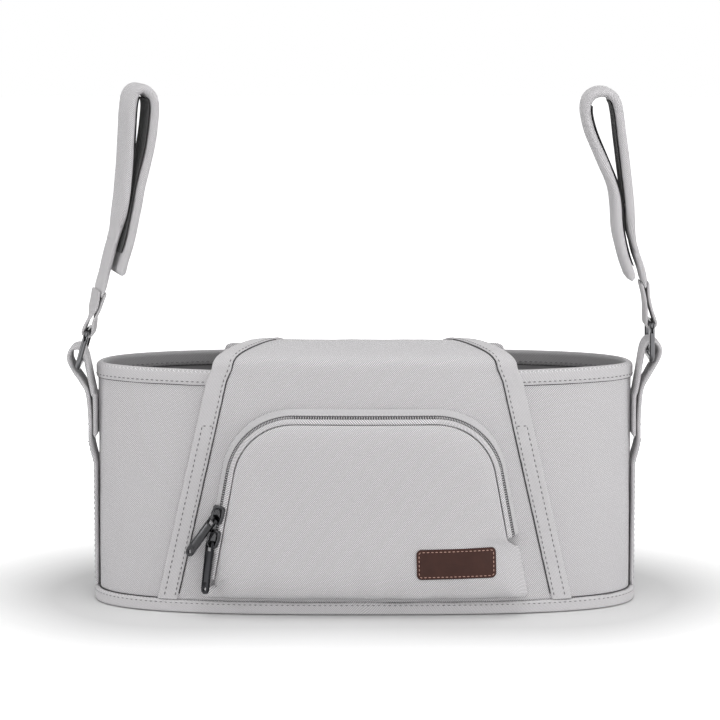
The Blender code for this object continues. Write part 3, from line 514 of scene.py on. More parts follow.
def section(turn, width, height, squareness=(8.0, 2.5)):
    """Point of a soft flat cross-section: straight faces and round edges."""
    across = copysign(abs(cos(turn)) ** (2 / squareness[0]), cos(turn)) * width / 2
    out = copysign(abs(sin(turn)) ** (2 / squareness[1]), sin(turn)) * height / 2
    return across, out


@lru_cache(maxsize=512)
def section_runs(width, height, squareness, columns=48):
    """Way round a soft section at each of its columns, so that the weave keeps its size on it."""
    turns = spread(0, 2 * pi, columns)
    return lengths([Vector(section(turn, width, height, squareness)) for turn in turns])


# %% [markdown]
# Stitches. A seam shows as a row of short thread ends with dark needle holes between them. Each stitch
# is a small stretched sphere of a few dozen faces, sunk halfway into the cloth, and one call sews a whole
# row along a path, so that a row is one mesh and not hundreds of objects. The grey thread's dark tone is
# painted shade of the dimples that the stitches sit in.

# %% Helper for stitches
STITCH = 0.0024
STITCH_GAP = 0.0012
THREAD_WIDTH = 0.0008


def sew(bm, path, normals, length=STITCH, space=STITCH_GAP, width=THREAD_WIDTH):
    """Adds a row of stitches along a path of points that has a surface normal at each point."""
    runs = lengths(path)
    count = max(int(runs[-1] / (length + space)), 1)
    for index in range(count):
        at = (index + 0.5) * runs[-1] / count
        here = between(at, runs, path)
        up = between(at, runs, normals).normalized()
        ahead = between(min(at + length / 2, runs[-1]), runs, path)
        along = (ahead - between(max(at - length / 2, 0), runs, path)).normalized()
        across = up.cross(along).normalized()
        up = along.cross(across)
        turned = Matrix((along, across, up)).transposed().to_4x4()
        size = Matrix.Diagonal((length / 2, width / 2, width / 2, 1))
        place = Matrix.Translation(here) @ turned @ size
        bmesh.ops.create_uvsphere(bm, u_segments=6, v_segments=4, radius=1, matrix=place)
    return count


def girth_row(bm, z, out, low=0.0, high=1.0, **sizes):
    """Sews a row round the body at a height, on the wall moved out by a distance."""
    turns = [turn_at(share) for share in spread(low, high, int(240 * (high - low)) + 1)]
    path = [wall_point(turn, z, out) for turn in turns]
    normals = [wall_normal(*wall_point(turn, z)) * copysign(1, out + WALL / 2) for turn in turns]
    return sew(bm, path, normals, **sizes)


def groove(name, path, normals, width=0.0008, looped=False):
    """Lays a thin dark cord of painted shade in the groove beside a tape, sunk halfway into the cloth."""
    runs = lengths(path)

    def place(u, v):
        at = runs[-1] * v
        here = between(at, runs, path)
        up = between(at, runs, normals).normalized()
        ahead = between(min(at + 0.001, runs[-1]), runs, path)
        along = (ahead - between(max(at - 0.001, 0), runs, path)).normalized()
        across = up.cross(along).normalized()
        turn = 2 * pi * u
        return here + (across * cos(turn) + along.cross(across) * sin(turn)) * width / 2, (at, u)

    bm = lay(8, int(runs[-1] / 0.003) + 2, place, rolled=True, looped=looped)
    return make_piece(name, bm, "body", SHADE)


print("stitch", STITCH * 1000, "mm")

# %% [markdown]
# Walls. Each is foam between two cloths, so it stands by itself but isn't a hard plate: its face is
# faintly uneven. A sheet laid on the outline with a thickness gives both sides at once, and the inner
# side takes the darker lining.

# %% Front and back wall
WALL_RIPPLE = 0.00035


def make_wall(name, node, start, stop):
    """Lays one wall between two shares of the way round the body."""
    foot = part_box(node)[0][2]
    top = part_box(node)[1][2]

    def place(u, v):
        share = start + (stop - start) * u
        z = foot + (top - foot) * v
        soft = WALL_RIPPLE * ripple(share * 60, v * 7) * sin(pi * v)
        return wall_point(turn_at(share), z, soft), (share * GIRTH, z)

    bm = face_away(lay(150, 28, place), (0, 0, 0.08))
    piece = make_piece(name, bm, "body", [TWILL, LINING], [node])
    thicken(piece, WALL, -1, lined=1)


SEAM = GAP / 2 / GIRTH
LEFT_END = between(pi, TURNS, RUNS) / GIRTH
make_wall("padded_front_wall", "front_wall", LEFT_END + SEAM, 1 - SEAM)
make_wall("padded_back_wall", "back_wall", SEAM, LEFT_END - SEAM)

# %% [markdown]
# Base and dividers. The base is a flat padded panel, and the dividers stand between the middle and the
# two cup pockets. They show from above only, yet they are cloth too, with soft edges.

# %% Base and dividers
BASE_POINTS = 160
BASE_EDGE = 0.0010
DIVIDER_TOP = 0.97
DIVIDER_SAG = 0.0006

bm = bmesh.new()
bmesh.ops.create_circle(bm, cap_ends=True, segments=BASE_POINTS, radius=1.0)
base_low, base_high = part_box("base_panel")
for index, vert in enumerate(bm.verts):
    vert.co = wall_point(turn_at(index / BASE_POINTS), 0.0, -0.0002)
grown = bmesh.ops.extrude_face_region(bm, geom=list(bm.faces))
lifted = [item for item in grown["geom"] if isinstance(item, bmesh.types.BMVert)]
bmesh.ops.translate(bm, verts=lifted, vec=(0, 0, base_high[2] - base_low[2]))
rims = [edge for edge in bm.edges if edge.calc_face_angle(0) > radians(60)]
edge_look = {"affect": "EDGES", "material": -1, "clamp_overlap": True}
bmesh.ops.bevel(bm, geom=rims, offset=BASE_EDGE, segments=3, profile=0.5, **edge_look)
metres = bm.loops.layers.uv.new("metres")
bmesh.ops.recalc_face_normals(bm, faces=bm.faces)
for face in bm.faces:
    for loop in face.loops:
        loop[metres].uv = loop.vert.co.xy
make_piece("padded_base", bm, "body", [LINING], ["base_panel"])

for word in ("left", "right"):
    low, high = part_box(f"{word}_divider")
    thick = high[0] - low[0]
    middle = (high[0] + low[0]) / 2

    def place(u, v, middle=middle, thick=thick, low=low, high=high):
        across, out = section(2 * pi * u, 2.0, thick, squareness=(14.0, 3.0))
        z = low[2] + (high[2] - low[2]) * v
        front, back = (face_y(abs(middle) + thick / 2, z, -WALL - GAP, side) for side in (-1, 1))
        y = front + (back - front) * (across + 1) / 2
        sag = DIVIDER_SAG * ripple(across * 2, z * 20, middle * 50)
        past = max(v - DIVIDER_TOP, 0) / (1 - DIVIDER_TOP)
        crown = out * sqrt(max(1 - past**2, 0.02))
        return Vector((middle + crown + sag * sin(pi * v), y, z)), (y, z)

    bm = lay(40, 40, place, rolled=True)
    piece = make_piece(f"padded_{word}_divider", bm, "body", LINING, [f"{word}_divider"])
print("walls, base and dividers made")

# %% [markdown]
# Bindings. A folded tape closes the rim: it runs over the top edge and down both faces, a centimetre on
# each side, and is sewn through near its lower edge. A second tape closes the seam between wall and base.
# Each is one cross-section carried round the outline, with a little waviness, because sewn tape never
# lies dead straight.

# %% Rim and hem binding
RIM_TAPE_HEIGHT = RIM_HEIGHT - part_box("rim_binding")[0][2]
HEM_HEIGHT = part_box("hem_binding")[1][2]
HEM_THICKNESS = 0.0036
RIM_ROUND = 0.0022
RIM_SEAM = 0.0021
HEM_SEAM = 0.0018


def polyline(points, share):
    """Point at a share of the way round a closed outline of points."""
    closed = [Vector(point) for point in points] + [Vector(points[0])]
    return between(share * lengths(closed)[-1], lengths(closed), closed)


def rim_section():
    """Cross-section of the folded rim tape as (out, height over its lower edge)."""
    outer = GAP + TAPE_THICKNESS
    inner = -WALL - outer
    middle = (outer + inner) / 2
    radius = (outer - inner) / 2
    crown = []
    for turn in spread(0, pi, 12):
        crown.append((middle + radius * cos(turn), RIM_TAPE_HEIGHT - RIM_ROUND * (1 - sin(turn))))
    shell = [(outer - 0.0004, 0), (outer, 0.0005), *crown, (inner, 0.0005), (inner + 0.0004, 0)]
    lining = [(inner + TAPE_THICKNESS, 0.0002), (inner + TAPE_THICKNESS, RIM_TAPE_HEIGHT - 0.0012)]
    lining += [(outer - TAPE_THICKNESS, RIM_TAPE_HEIGHT - 0.0012), (outer - TAPE_THICKNESS, 0.0002)]
    return shell + lining


RIM_SECTION = rim_section()


def rim_place(u, v):
    """Lays the folded rim tape round the body."""
    out, rise = polyline(RIM_SECTION, u)
    wave = 0.0003 * ripple(v * 40, 1.0)
    z = RIM_HEIGHT - RIM_TAPE_HEIGHT + rise + wave * (1 - rise / RIM_TAPE_HEIGHT)
    out += 0.00012 * ripple(v * 90, 5.0) * (1 if out > -WALL / 2 else -1)
    return wall_point(turn_at(v), min(z, RIM_HEIGHT), out), (v * GIRTH, out + rise)


def hem_place(u, v):
    """Lays the hem tape round the foot of the body."""
    out, rise = section(2 * pi * u, HEM_THICKNESS, HEM_HEIGHT - GAP, squareness=(3.0, 6.0))
    z = (HEM_HEIGHT + GAP) / 2 + rise
    wave = 0.0005 * ripple(v * 50, 3.0) * ease(0, HEM_HEIGHT, z)
    out += GAP + HEM_THICKNESS / 2 + 0.0002 * ripple(v * 70, 9.0)
    return wall_point(turn_at(v), z + wave, out), (v * GIRTH, rise)


bm = lay(56, 360, rim_place, rolled=True, looped=True)
bm.normal_update()
# Faces of the rim tape that look inwards take the darker tape copy, as painted shade.
for face in bm.faces:
    face.material_index = int(face.normal.xy.dot(face.calc_center_median().xy.normalized()) < -0.2)
make_piece("rim_tape", bm, "body", [TAPE, TAPE_PAINTED_SHADE], ["rim_binding"])
bm = lay(28, 360, hem_place, rolled=True, looped=True)
make_piece("hem_tape", bm, "body", TAPE, ["hem_binding"])

bm = bmesh.new()
rim_foot = RIM_HEIGHT - RIM_TAPE_HEIGHT
count = girth_row(bm, rim_foot + RIM_SEAM, GAP + TAPE_THICKNESS)
count += girth_row(bm, rim_foot + RIM_SEAM, -WALL - GAP - TAPE_THICKNESS)
count += girth_row(bm, HEM_HEIGHT - HEM_SEAM, GAP + HEM_THICKNESS - 0.0002)
make_piece("binding_stitches", bm, "body", THREAD_PAINTED_SHADE)
# Dark cords of painted shade below the rim tape, inside it, and above the hem tape.
GROOVES = (
    ("rim_groove", rim_foot - 0.0002, 0.0001),
    ("rim_inner_groove", rim_foot - 0.0002, -WALL - 0.0001),
    ("hem_groove", HEM_HEIGHT + 0.0003, 0.0003),
)
for name, z, out in GROOVES:
    turns = [turn_at(share) for share in spread(0, 1, 480)]
    path = [wall_point(turn, z, out) for turn in turns]
    groove(name, path, [wall_normal(*wall_point(turn, z)) for turn in turns], looped=True)
print(count, "stitches in the bindings")

# %% [markdown]
# The flap. One padded panel is sewn to the front, folds over the top edge, crosses the opening and closes
# on a tab at the back. Its track is a list of stations from front to back: how far over, how high, how
# wide, and how much its edges hang. A smooth curve through the stations gives the fold, and each row of
# the sheet is laid across it.

# %% Track of the flap
FLAP = 0.0020
FLAP_HALF_FOOT = 0.1378
FLAP_HALF_RIM = 0.1018
FLAP_CROWN = 0.0100
FLAP_DROOP = 0.0040
BACK_TAB = 0.003
FLAP_FRONT_ROWS = 36
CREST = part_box("back_tab")[1][2] - 0.001
FLAP_STATIONS = (
    (0.000, -0.900, 1.024, 0.000),
    (0.000, -0.060, 0.990, 0.060),
    (0.008, 0.400, 0.978, 0.250),
    (0.035, 0.720, 0.948, 0.350),
    (0.095, 0.930, 0.898, 0.250),
    (0.210, 1.030, 0.832, 0.060),
    (0.380, 1.000, 0.770, 0.020),
    (0.560, 0.850, 0.720, 0.100),
    (0.760, 0.540, 0.690, 0.080),
    (0.900, 0.250, 0.672, 0.029),
    (0.960, 0.120, 0.667, 0.000),
    (1.002, 0.030, 0.663, 0.000),
    (1.018, -0.300, 0.660, 0.000),
    (1.010, -1.500, 0.655, 0.000),
    (1.004, -3.300, 0.650, 0.000),
)


def flap_track():
    """Rows of (way over, height, half width, edge drop) from the hem to the end on the back."""
    foot = HEM_HEIGHT + GAP
    fold = []
    for way, rise, wide, drop in FLAP_STATIONS:
        fold.append((way, CREST + FLAP_CROWN * rise, FLAP_HALF_RIM * wide, FLAP_DROOP * drop))
    start = Vector((0, foot, FLAP_HALF_FOOT, 0))
    front = [start.lerp(Vector(fold[0]), share) for share in spread(0, 1, FLAP_FRONT_ROWS)]
    return front[:-1] + smooth(fold, 8)


TRACK = flap_track()


def standoff(z):
    """Distance from the wall to the flap's inner face, which clears the rim tape."""
    return 2 * GAP + TAPE_THICKNESS * ease(RIM_HEIGHT / 2, RIM_HEIGHT - RIM_TAPE_HEIGHT, z)


def flap_inner(u, row):
    """Point of the flap's inner face: u across from -1 to 1, row along the track."""
    low = min(int(row), len(TRACK) - 2)
    way, z, half, drop = TRACK[low].lerp(TRACK[low + 1], row - low)
    x = u * half
    front = face_y(x, z, standoff(z), -1)
    back = face_y(x, z, 3 * GAP + TAPE_THICKNESS + BACK_TAB, 1)
    return Vector((x, front + (back - front) * way, z - drop * u**4))


FLAP_RUNS = lengths([flap_inner(0, row) for row in range(len(TRACK))])
FLAP_LENGTH = FLAP_RUNS[-1]
ROWS = list(range(len(TRACK)))


def flap_point(u, run, out):
    """Point over the flap's inner face after a run up its middle, along its normal."""
    row = between(run, FLAP_RUNS, ROWS)
    step = 0.01
    across = flap_inner(u + step, row) - flap_inner(u - step, row)
    along = flap_inner(u, min(row + 0.2, ROWS[-1])) - flap_inner(u, max(row - 0.2, 0))
    return flap_inner(u, row) + across.cross(along).normalized() * out


def half_width(run):
    """Half the flap's width after a run up its middle."""
    return TRACK[min(int(between(run, FLAP_RUNS, ROWS)), ROWS[-1])][2]


FOLD_RUN = FLAP_RUNS[FLAP_FRONT_ROWS]
print(f"flap {FLAP_LENGTH * 1000:.0f} mm long, folds after {FOLD_RUN * 1000:.0f} mm")

# %% [markdown]
# The flap's cloth. The sheet is laid on that track, and small ripples and a few pressed creases just past
# the fold make it cloth. A folded tape runs along each side, as one section carried up the flap, and is
# sewn down in two rows with a short row across where the tape meets the fold.

# %% Flap, its side tapes and stitches
FLAP_TAPE = 0.012
CREASES = ((-0.052, 0.010, 0.016), (0.028, 0.0085, 0.012), (0.066, 0.013, 0.010), (-0.020, 0.017, 0.014))
CREASE_DEPTH = 0.0007
CREASE_WIDTH = 0.0022
CREASE_BEND = 0.12


def flap_soft(x, run, u):
    """Height of the flap's ripples and creases over its even surface."""
    free = 1 - abs(u) ** 6
    soft = 0.0005 * ripple(x * 22, run * 22, 3.0) + 0.0002 * ripple(x * 60, run * 60, 5.0)
    for place, after, reach in CREASES:
        bent = run - FOLD_RUN - after - CREASE_BEND * abs(x - place)
        near = ((x - place) / reach) ** 2 + (bent / CREASE_WIDTH) ** 2
        soft -= CREASE_DEPTH / (1 + near) ** 2
    return soft * free


def flap_place(u, v):
    """Lays the flap's sheet on its track."""
    across = 2 * u - 1
    run = FLAP_LENGTH * v
    x = across * half_width(run)
    lift = FLAP + max(flap_soft(x, run, across), -0.0006)
    return flap_point(across, run, lift), (x, run)


bm = face_away(lay(90, 170, flap_place), (0, 0, 0.10))
flap = make_piece("padded_flap", bm, "body", [TWILL, LINING], ["flap"])
thicken(flap, FLAP * 0.85, -1, lined=1)

FLAP_TAPE_TOP = FLAP + GAP + TAPE_THICKNESS
FLAP_TAPE_SECTION = (
    (-0.0012, 0.0002),
    (-0.0012, FLAP_TAPE_TOP - 0.0004),
    (-0.0009, FLAP_TAPE_TOP - 0.0001),
    (-0.0004, FLAP_TAPE_TOP),
    (FLAP_TAPE - 0.0004, FLAP_TAPE_TOP),
    (FLAP_TAPE, FLAP_TAPE_TOP - 0.0003),
    (FLAP_TAPE, FLAP + GAP),
    (-GAP, FLAP + GAP),
    (-GAP, 0.0002),
)
CROSS_ROW = FOLD_RUN - 0.030


def flap_edge(side, inset, run, out):
    """Point at a distance in from one side of the flap."""
    return flap_point(side * (1 - inset / half_width(run)), run, out)


def row_along_flap(bm, side, inset, low, high, out):
    """Sews a row along the flap's side tape between two runs."""
    runs = spread(low, high, 80)
    path = [flap_edge(side, inset, run, out) for run in runs]
    normals = [(flap_edge(side, inset, run, out + 0.001) - here) for run, here in zip(runs, path)]
    return sew(bm, path, normals)


count = 0
for word, side in (("left", -1), ("right", 1)):

    def place(u, v, side=side):
        inset, out = polyline(FLAP_TAPE_SECTION, u)
        run = FLAP_LENGTH * v
        wave = 0.00025 * ripple(v * 60, side * 4.0)
        pressed = 0.0002 * ripple(v * 80, inset * 300, side * 2.0)
        return flap_edge(side, inset + wave, run, out + pressed), (run, inset)

    bm = lay(40, 190, place, rolled=True)
    make_piece(f"flap_tape_{word}", bm, "body", TAPE, [f"flap_binding_{word}"])
    bm = bmesh.new()
    top = FLAP_TAPE_TOP
    count += row_along_flap(bm, side, FLAP_TAPE - 0.0018, 0.002, FLAP_LENGTH - 0.002, top)
    count += row_along_flap(bm, side, 0.0030, 0.002, CROSS_ROW, top)
    cross = [flap_edge(side, inset, CROSS_ROW, top) for inset in spread(0.0022, 0.0108, 8)]
    outward = flap_edge(side, 0.006, CROSS_ROW, top + 0.001) - flap_edge(side, 0.006, CROSS_ROW, top)
    count += sew(bm, cross, [outward] * 9)
    make_piece(f"flap_stitches_{word}", bm, "body", THREAD_PAINTED_SHADE)
    # A dark cord of painted shade along the groove inside each side tape.
    runs = spread(0.004, FLAP_LENGTH * 0.72, 120)
    inset = FLAP_TAPE + 0.0003
    path = [flap_edge(side, inset, run, FLAP + 0.0002) for run in runs]
    normals = [flap_edge(side, inset, run, FLAP + 0.002) - here for run, here in zip(runs, path)]
    groove(f"flap_groove_{word}", path, normals, width=0.0010)
print("flap made, with", count, "stitches")

# %% [markdown]
# The back tab. Behind the flap a second padded panel stands up from the back wall, and its two rounded
# shoulders show on either side of the flap.

# %% Back tab
tab_low, tab_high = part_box("back_tab")
TAB_CORNER = 0.006
TAB_HALF = 0.0995
TAB_DIP = 0.0013


def back_tab_place(u, v):
    """Lays the back tab on the back wall, with rounded shoulders."""
    x = TAB_HALF * (2 * u - 1)
    past = max(abs(x) - (TAB_HALF - TAB_CORNER), 0)
    crown = tab_high[2] - TAB_CORNER + sqrt(max(TAB_CORNER**2 - past**2, 0))
    crown -= TAB_DIP * (1 - ease(TAB_HALF - 0.030, TAB_HALF - 0.012, abs(x)))
    z = tab_low[2] + (crown - tab_low[2]) * v
    soft = 0.0003 * ripple(x * 25, z * 25, 8.0)
    return Vector((x, face_y(x, z, 2 * GAP + TAPE_THICKNESS + BACK_TAB * 0.9 + soft, 1), z)), (x, z)


bm = face_away(lay(90, 24, back_tab_place), (0, 0, 0.13))
back_tab = make_piece("padded_back_tab", bm, "body", [TWILL, TWILL], ["back_tab"])
thicken(back_tab, BACK_TAB * 0.85, -1, lined=1)
bm = bmesh.new()
path = []
for u in spread(0, 1, 120):
    v = 0.955 if 0.02 < u < 0.98 else 0.94
    path.append(back_tab_place(0.02 + 0.96 * u, v)[0] + Vector((0, 0.0002, 0)))
count = sew(bm, path, [Vector((0, 1, 0))] * len(path))
make_piece("back_tab_stitches", bm, "body", THREAD_PAINTED_SHADE)
print("back tab made, with", count, "stitches")

# %% [markdown]
# The zipped pocket. Its outline is a trapezium with wide round top corners, and its edge stands up from
# the flap as a band: a woven zip tape, the row of teeth, and a facing that turns over onto the panel. The
# band's section is a quarter of an ellipse. A rule that gives the point at a share of the way round and
# at a run up that section lays all three strips.

# %% Outline of the pocket
POCKET_HALF_FOOT = 0.1105
POCKET_HALF_TOP = 0.087
POCKET_FOOT = 0.012
POCKET_TOP = 0.1385
POCKET_CORNER = 0.048
POCKET_RISE = 0.0172
POCKET_SQUARENESS = 8
BAND_WIDTH = 0.0074
BAND_RISE = 0.0138
ZIP_TAPE = 0.0108
ZIP_CHAIN = 0.0026
ZIP_LEFT_END = 0.026
ZIP_RIGHT_END = 0.055
SEAM_LENGTH = 0.010
PART_STEPS = 40


def flap_face(x, z):
    """Depth of the flap's outer face on the front."""
    return face_y(x, z, standoff(z) + FLAP, -1)


@lru_cache
def pocket_path(inset):
    """Outline from the left foot over the top to the right foot as (x, z), moved inwards."""
    foot = Vector((POCKET_HALF_FOOT, POCKET_FOOT))
    corner = Vector((POCKET_HALF_TOP, POCKET_TOP))
    leg = (corner - foot).normalized()
    inward = Vector((-leg.y, leg.x))
    lean = acos(leg.y)
    start = corner - leg * POCKET_CORNER * tan((pi / 2 - lean) / 2)
    centre = start + inward * POCKET_CORNER
    rise = (start - foot).length
    right = [foot + leg * rise * step / PART_STEPS + inward * inset for step in range(PART_STEPS)]
    for step in range(PART_STEPS):
        angle = lean + (pi / 2 - lean) * step / PART_STEPS
        right.append(centre + Vector((cos(angle), sin(angle))) * (POCKET_CORNER - inset))
    top = [centre.x * (1 - 2 * step / PART_STEPS) for step in range(PART_STEPS + 1)]
    left = [Vector((-point.x, point.y)) for point in right]
    return left + [Vector((-x, POCKET_TOP - inset)) for x in top] + right[::-1]


def band_station(z, right):
    """Share of the way round the outline at a height of its left or right leg."""
    path = pocket_path(0)
    steps = range(len(path)) if not right else range(len(path) - 1, 0, -1)
    return next(step for step in steps if path[step].y >= z) / (len(path) - 1)


SECTION_TURNS = spread(0, pi / 2, 60)
SECTION_RUNS = lengths([Vector((-BAND_WIDTH * cos(t), BAND_RISE * sin(t))) for t in SECTION_TURNS])
BAND_LENGTH = SECTION_RUNS[-1]


def band_point(share, run, out):
    """Point of the band at a share of the way round and a run up its section."""
    turn = between(run, SECTION_RUNS, SECTION_TURNS)
    normal = Vector((-BAND_RISE * cos(turn), BAND_WIDTH * sin(turn))).normalized()
    inset = BAND_WIDTH * (1 - cos(turn)) + normal.x * out
    rise = BAND_RISE * sin(turn) + normal.y * out
    path = pocket_path(round(inset, 6))
    at = share * (len(path) - 1)
    low = min(int(at), len(path) - 2)
    x, z = path[low].lerp(path[low + 1], at - low)
    return Vector((x, flap_face(x, z) - rise, z))


ZIP_START = band_station(ZIP_LEFT_END, False)
ZIP_STOP = band_station(ZIP_RIGHT_END, True)
ZIP_PATH = [band_point(share, ZIP_TAPE, 0) for share in spread(ZIP_START, ZIP_STOP, 400)]
ZIP_RUNS = lengths(ZIP_PATH)
print(f"zip {ZIP_RUNS[-1] * 1000:.0f} mm long")

# %% [markdown]
# The zip. Its tape and facing are strips of the band, with a narrow dark strip between them that is
# painted shade under the teeth. The chain is a row of nylon teeth that step to either side in turn, so
# each tooth is a small stretched sphere set across that shade strip, a fraction of a millimetre further
# in or out.

# %% Zip tape, facing and teeth
TOOTH_PITCH = 0.0014
TOOTH_STEP = 0.0001
SHADE_BED_OVERLAP = 0.0004


def band_strip(name, node, start, stop, look, swell=0.0, seed=0.0, out=0.0):
    """Lays a strip of the band between two runs up its section."""

    def place(u, v):
        share = ZIP_START + (ZIP_STOP - ZIP_START) * u
        run = start + (stop - start) * v
        along = ZIP_RUNS[-1] * u
        soft = swell * sin(pi * v) + 0.00025 * ripple(along * 45, run * 90, seed) * sin(pi * v)
        return band_point(share, run, soft + out), (along, run)

    bm = face_away(lay(300, 14, place), (0, 0, 0.08))
    piece = make_piece(name, bm, "body", look, [node] if node else [])
    thicken(piece, TAPE_THICKNESS * 0.9, -1)
    return piece


CHAIN_RUN = ZIP_TAPE + GAP
FACING_RUN = CHAIN_RUN + ZIP_CHAIN + GAP
band_strip("zip_cloth_tape", "zip_tape", GAP, ZIP_TAPE, ZIP_CLOTH, 0.0002, 2.0)
band_strip("pocket_facing", "zip_facing", FACING_RUN, BAND_LENGTH - GAP, TWILL, 0.0003, 6.0)

# The dark strip under the teeth is painted shade, which shows in the gaps between them.
shade_bed_start, shade_bed_stop = CHAIN_RUN - SHADE_BED_OVERLAP, CHAIN_RUN + ZIP_CHAIN + SHADE_BED_OVERLAP
band_strip("zip_bed", None, shade_bed_start, shade_bed_stop, SHADE, out=-0.0004)
bm = bmesh.new()
count = int(ZIP_RUNS[-1] / TOOTH_PITCH)
for index in range(count):
    share = ZIP_START + (ZIP_STOP - ZIP_START) * (index + 0.5) / count
    middle = CHAIN_RUN + ZIP_CHAIN / 2 + (TOOTH_STEP if index % 2 else -TOOTH_STEP)
    here = band_point(share, middle, 0)
    up = (band_point(share, middle, 0.001) - here).normalized()
    along = (band_point(share + 0.001, middle, 0) - here).normalized()
    across = up.cross(along).normalized()
    turned = Matrix((along, across, along.cross(across))).transposed().to_4x4()
    size = Matrix.Diagonal((TOOTH_PITCH * 0.30, ZIP_CHAIN * 0.48, 0.0008, 1))
    place = Matrix.Translation(here) @ turned @ size
    bmesh.ops.create_uvsphere(bm, u_segments=8, v_segments=5, radius=1, matrix=place)
make_piece("zip_teeth", bm, "body", COIL, ["zip_chain"])
print(count, "teeth")

# %% [markdown]
# The pocket's front panel is padded. Above the zip's ends its edge is the zip's own, and below them it
# comes down and is sewn to the flap. The sheet is laid as a grid over the outline: each row runs from the
# left edge to the right edge, and the rise at a point is the edge's rise plus a flat-topped dome.

# %% Pocket panel


@lru_cache
def panel_edge(side, row):
    """Edge point (x, z, rise) of the panel at a row of 1000 from its foot to its top, on one side."""
    outer = pocket_path(GAP)
    zipped = pocket_path(BAND_WIDTH + GAP)
    at = (len(outer) - 1) / 2 * row / 1000
    at = at if side < 0 else len(outer) - 1 - at
    low = min(int(at), len(outer) - 2)
    wide = outer[low].lerp(outer[low + 1], at - low)
    narrow = zipped[low].lerp(zipped[low + 1], at - low)
    end = ZIP_LEFT_END if side < 0 else ZIP_RIGHT_END
    share = ease(end - SEAM_LENGTH, end - 3 * GAP, wide.y)
    x, z = wide.lerp(narrow, share)
    return Vector((x, z, GAP + (BAND_RISE - GAP) * share))


EDGE_POINTS = [panel_edge(-1, row) for row in range(0, 1000, 10)]
EDGE_POINTS += [panel_edge(1, row) for row in range(1000, -1, -10)]
PANEL_MIDDLE = Vector((0, (POCKET_FOOT + POCKET_TOP) / 2))
for step in range(1, 60):
    x = POCKET_HALF_FOOT * (1 - 2 * step / 60)
    EDGE_POINTS.append(Vector((x, POCKET_FOOT, GAP)))


def angle_of(point):
    """Angle round the panel's middle, which rises with the outline's order from the left foot."""
    return (1.5 * pi - atan2(point[1] - PANEL_MIDDLE.y, point[0] - PANEL_MIDDLE.x)) % (2 * pi)


EDGE_TABLE = sorted((angle_of(point), (point.xy - PANEL_MIDDLE).length, point.z) for point in EDGE_POINTS)
EDGE_TABLE = [(EDGE_TABLE[-1][0] - 2 * pi, *EDGE_TABLE[-1][1:])] + EDGE_TABLE
EDGE_TABLE.append((EDGE_TABLE[1][0] + 2 * pi, *EDGE_TABLE[1][1:]))
EDGE_ANGLES = [row[0] for row in EDGE_TABLE]
EDGE_REACH = [row[1] for row in EDGE_TABLE]
EDGE_RISE = [row[2] for row in EDGE_TABLE]


def panel_face(x, z, out=0.0):
    """Point of the panel's even outer face, moved out towards the front."""
    angle = angle_of((x, z))
    reach = between(angle, EDGE_ANGLES, EDGE_REACH)
    edge_rise = between(angle, EDGE_ANGLES, EDGE_RISE)
    share = min(hypot(x, z - PANEL_MIDDLE.y) / reach, 1)
    rise = edge_rise + (POCKET_RISE - edge_rise) * sqrt(1 - share**POCKET_SQUARENESS)
    return Vector((x, flap_face(x, z) - rise - out, z))


def panel_soft(x, z):
    """Waviness of the panel's padding, with folds in its lower corners."""
    soft = 0.0006 * ripple(x * 24, z * 24, 11.0) + 0.0002 * ripple(x * 70, z * 70, 13.0)
    low = 1 - ease(POCKET_FOOT, POCKET_FOOT + 0.03, z)
    soft += 0.0008 * low * sin(x * 210 + 1.3 * sin(x * 60))
    for corner, turn in ((-0.098, 0.9), (0.101, -0.9)):
        away = (x - corner) * cos(turn) + (z - 0.020) * sin(turn)
        along = (z - 0.020) * cos(turn) - (x - corner) * sin(turn)
        soft -= 0.0014 * low / (1 + (away / 0.0016) ** 2) / (1 + (along / 0.012) ** 2)
    return soft


PANEL = 0.0020
PANEL_SAG = 0.0024


def panel_place(u, v):
    """Rings from the middle (v = 0) to the edge (v = 1), round the outline with u."""
    angle = 2 * pi * u
    reach = between(angle, EDGE_ANGLES, EDGE_REACH)
    way = 1.5 * pi - angle
    share = 1 - (1 - v) ** 1.4
    x = reach * share * cos(way)
    z = PANEL_MIDDLE.y + reach * share * sin(way)
    edge = 1 - share**12
    point = panel_face(x, z, panel_soft(x, z) * edge)
    proud = (flap_face(x, z) - point.y) / POCKET_RISE
    low = 1 - ease(POCKET_FOOT, POCKET_FOOT + 0.022, z)
    point.z -= (PANEL_SAG + 0.0016 * ripple(x * 16, 0.0, 17.0)) * low * ease(0.30, 0.85, proud)
    return point, (x, z)


bm = face_away(lay(320, 60, panel_place, looped=True), (0, 0, 0.08))
panel = make_piece("padded_pocket_panel", bm, "body", [TWILL, LINING], ["pocket_front"])
thicken(panel, PANEL, -1, lined=1)
print("panel", len(panel.data.vertices), "points")

# %% [markdown]
# The label is a piece of leather with rounded corners, sewn down along its edge. It is made from a
# grid that is laid on the panel in rings, and its rim is turned down so that the cut edge shows.

# %% Leather label
LABEL_WIDTH = 0.053
LABEL_HEIGHT = 0.0204
LABEL_CORNER = 0.0033
LABEL_TILT = radians(1.2)
LABEL_PLACE = Vector((0.061, 0.0385))
LABEL_FACE = 0.86


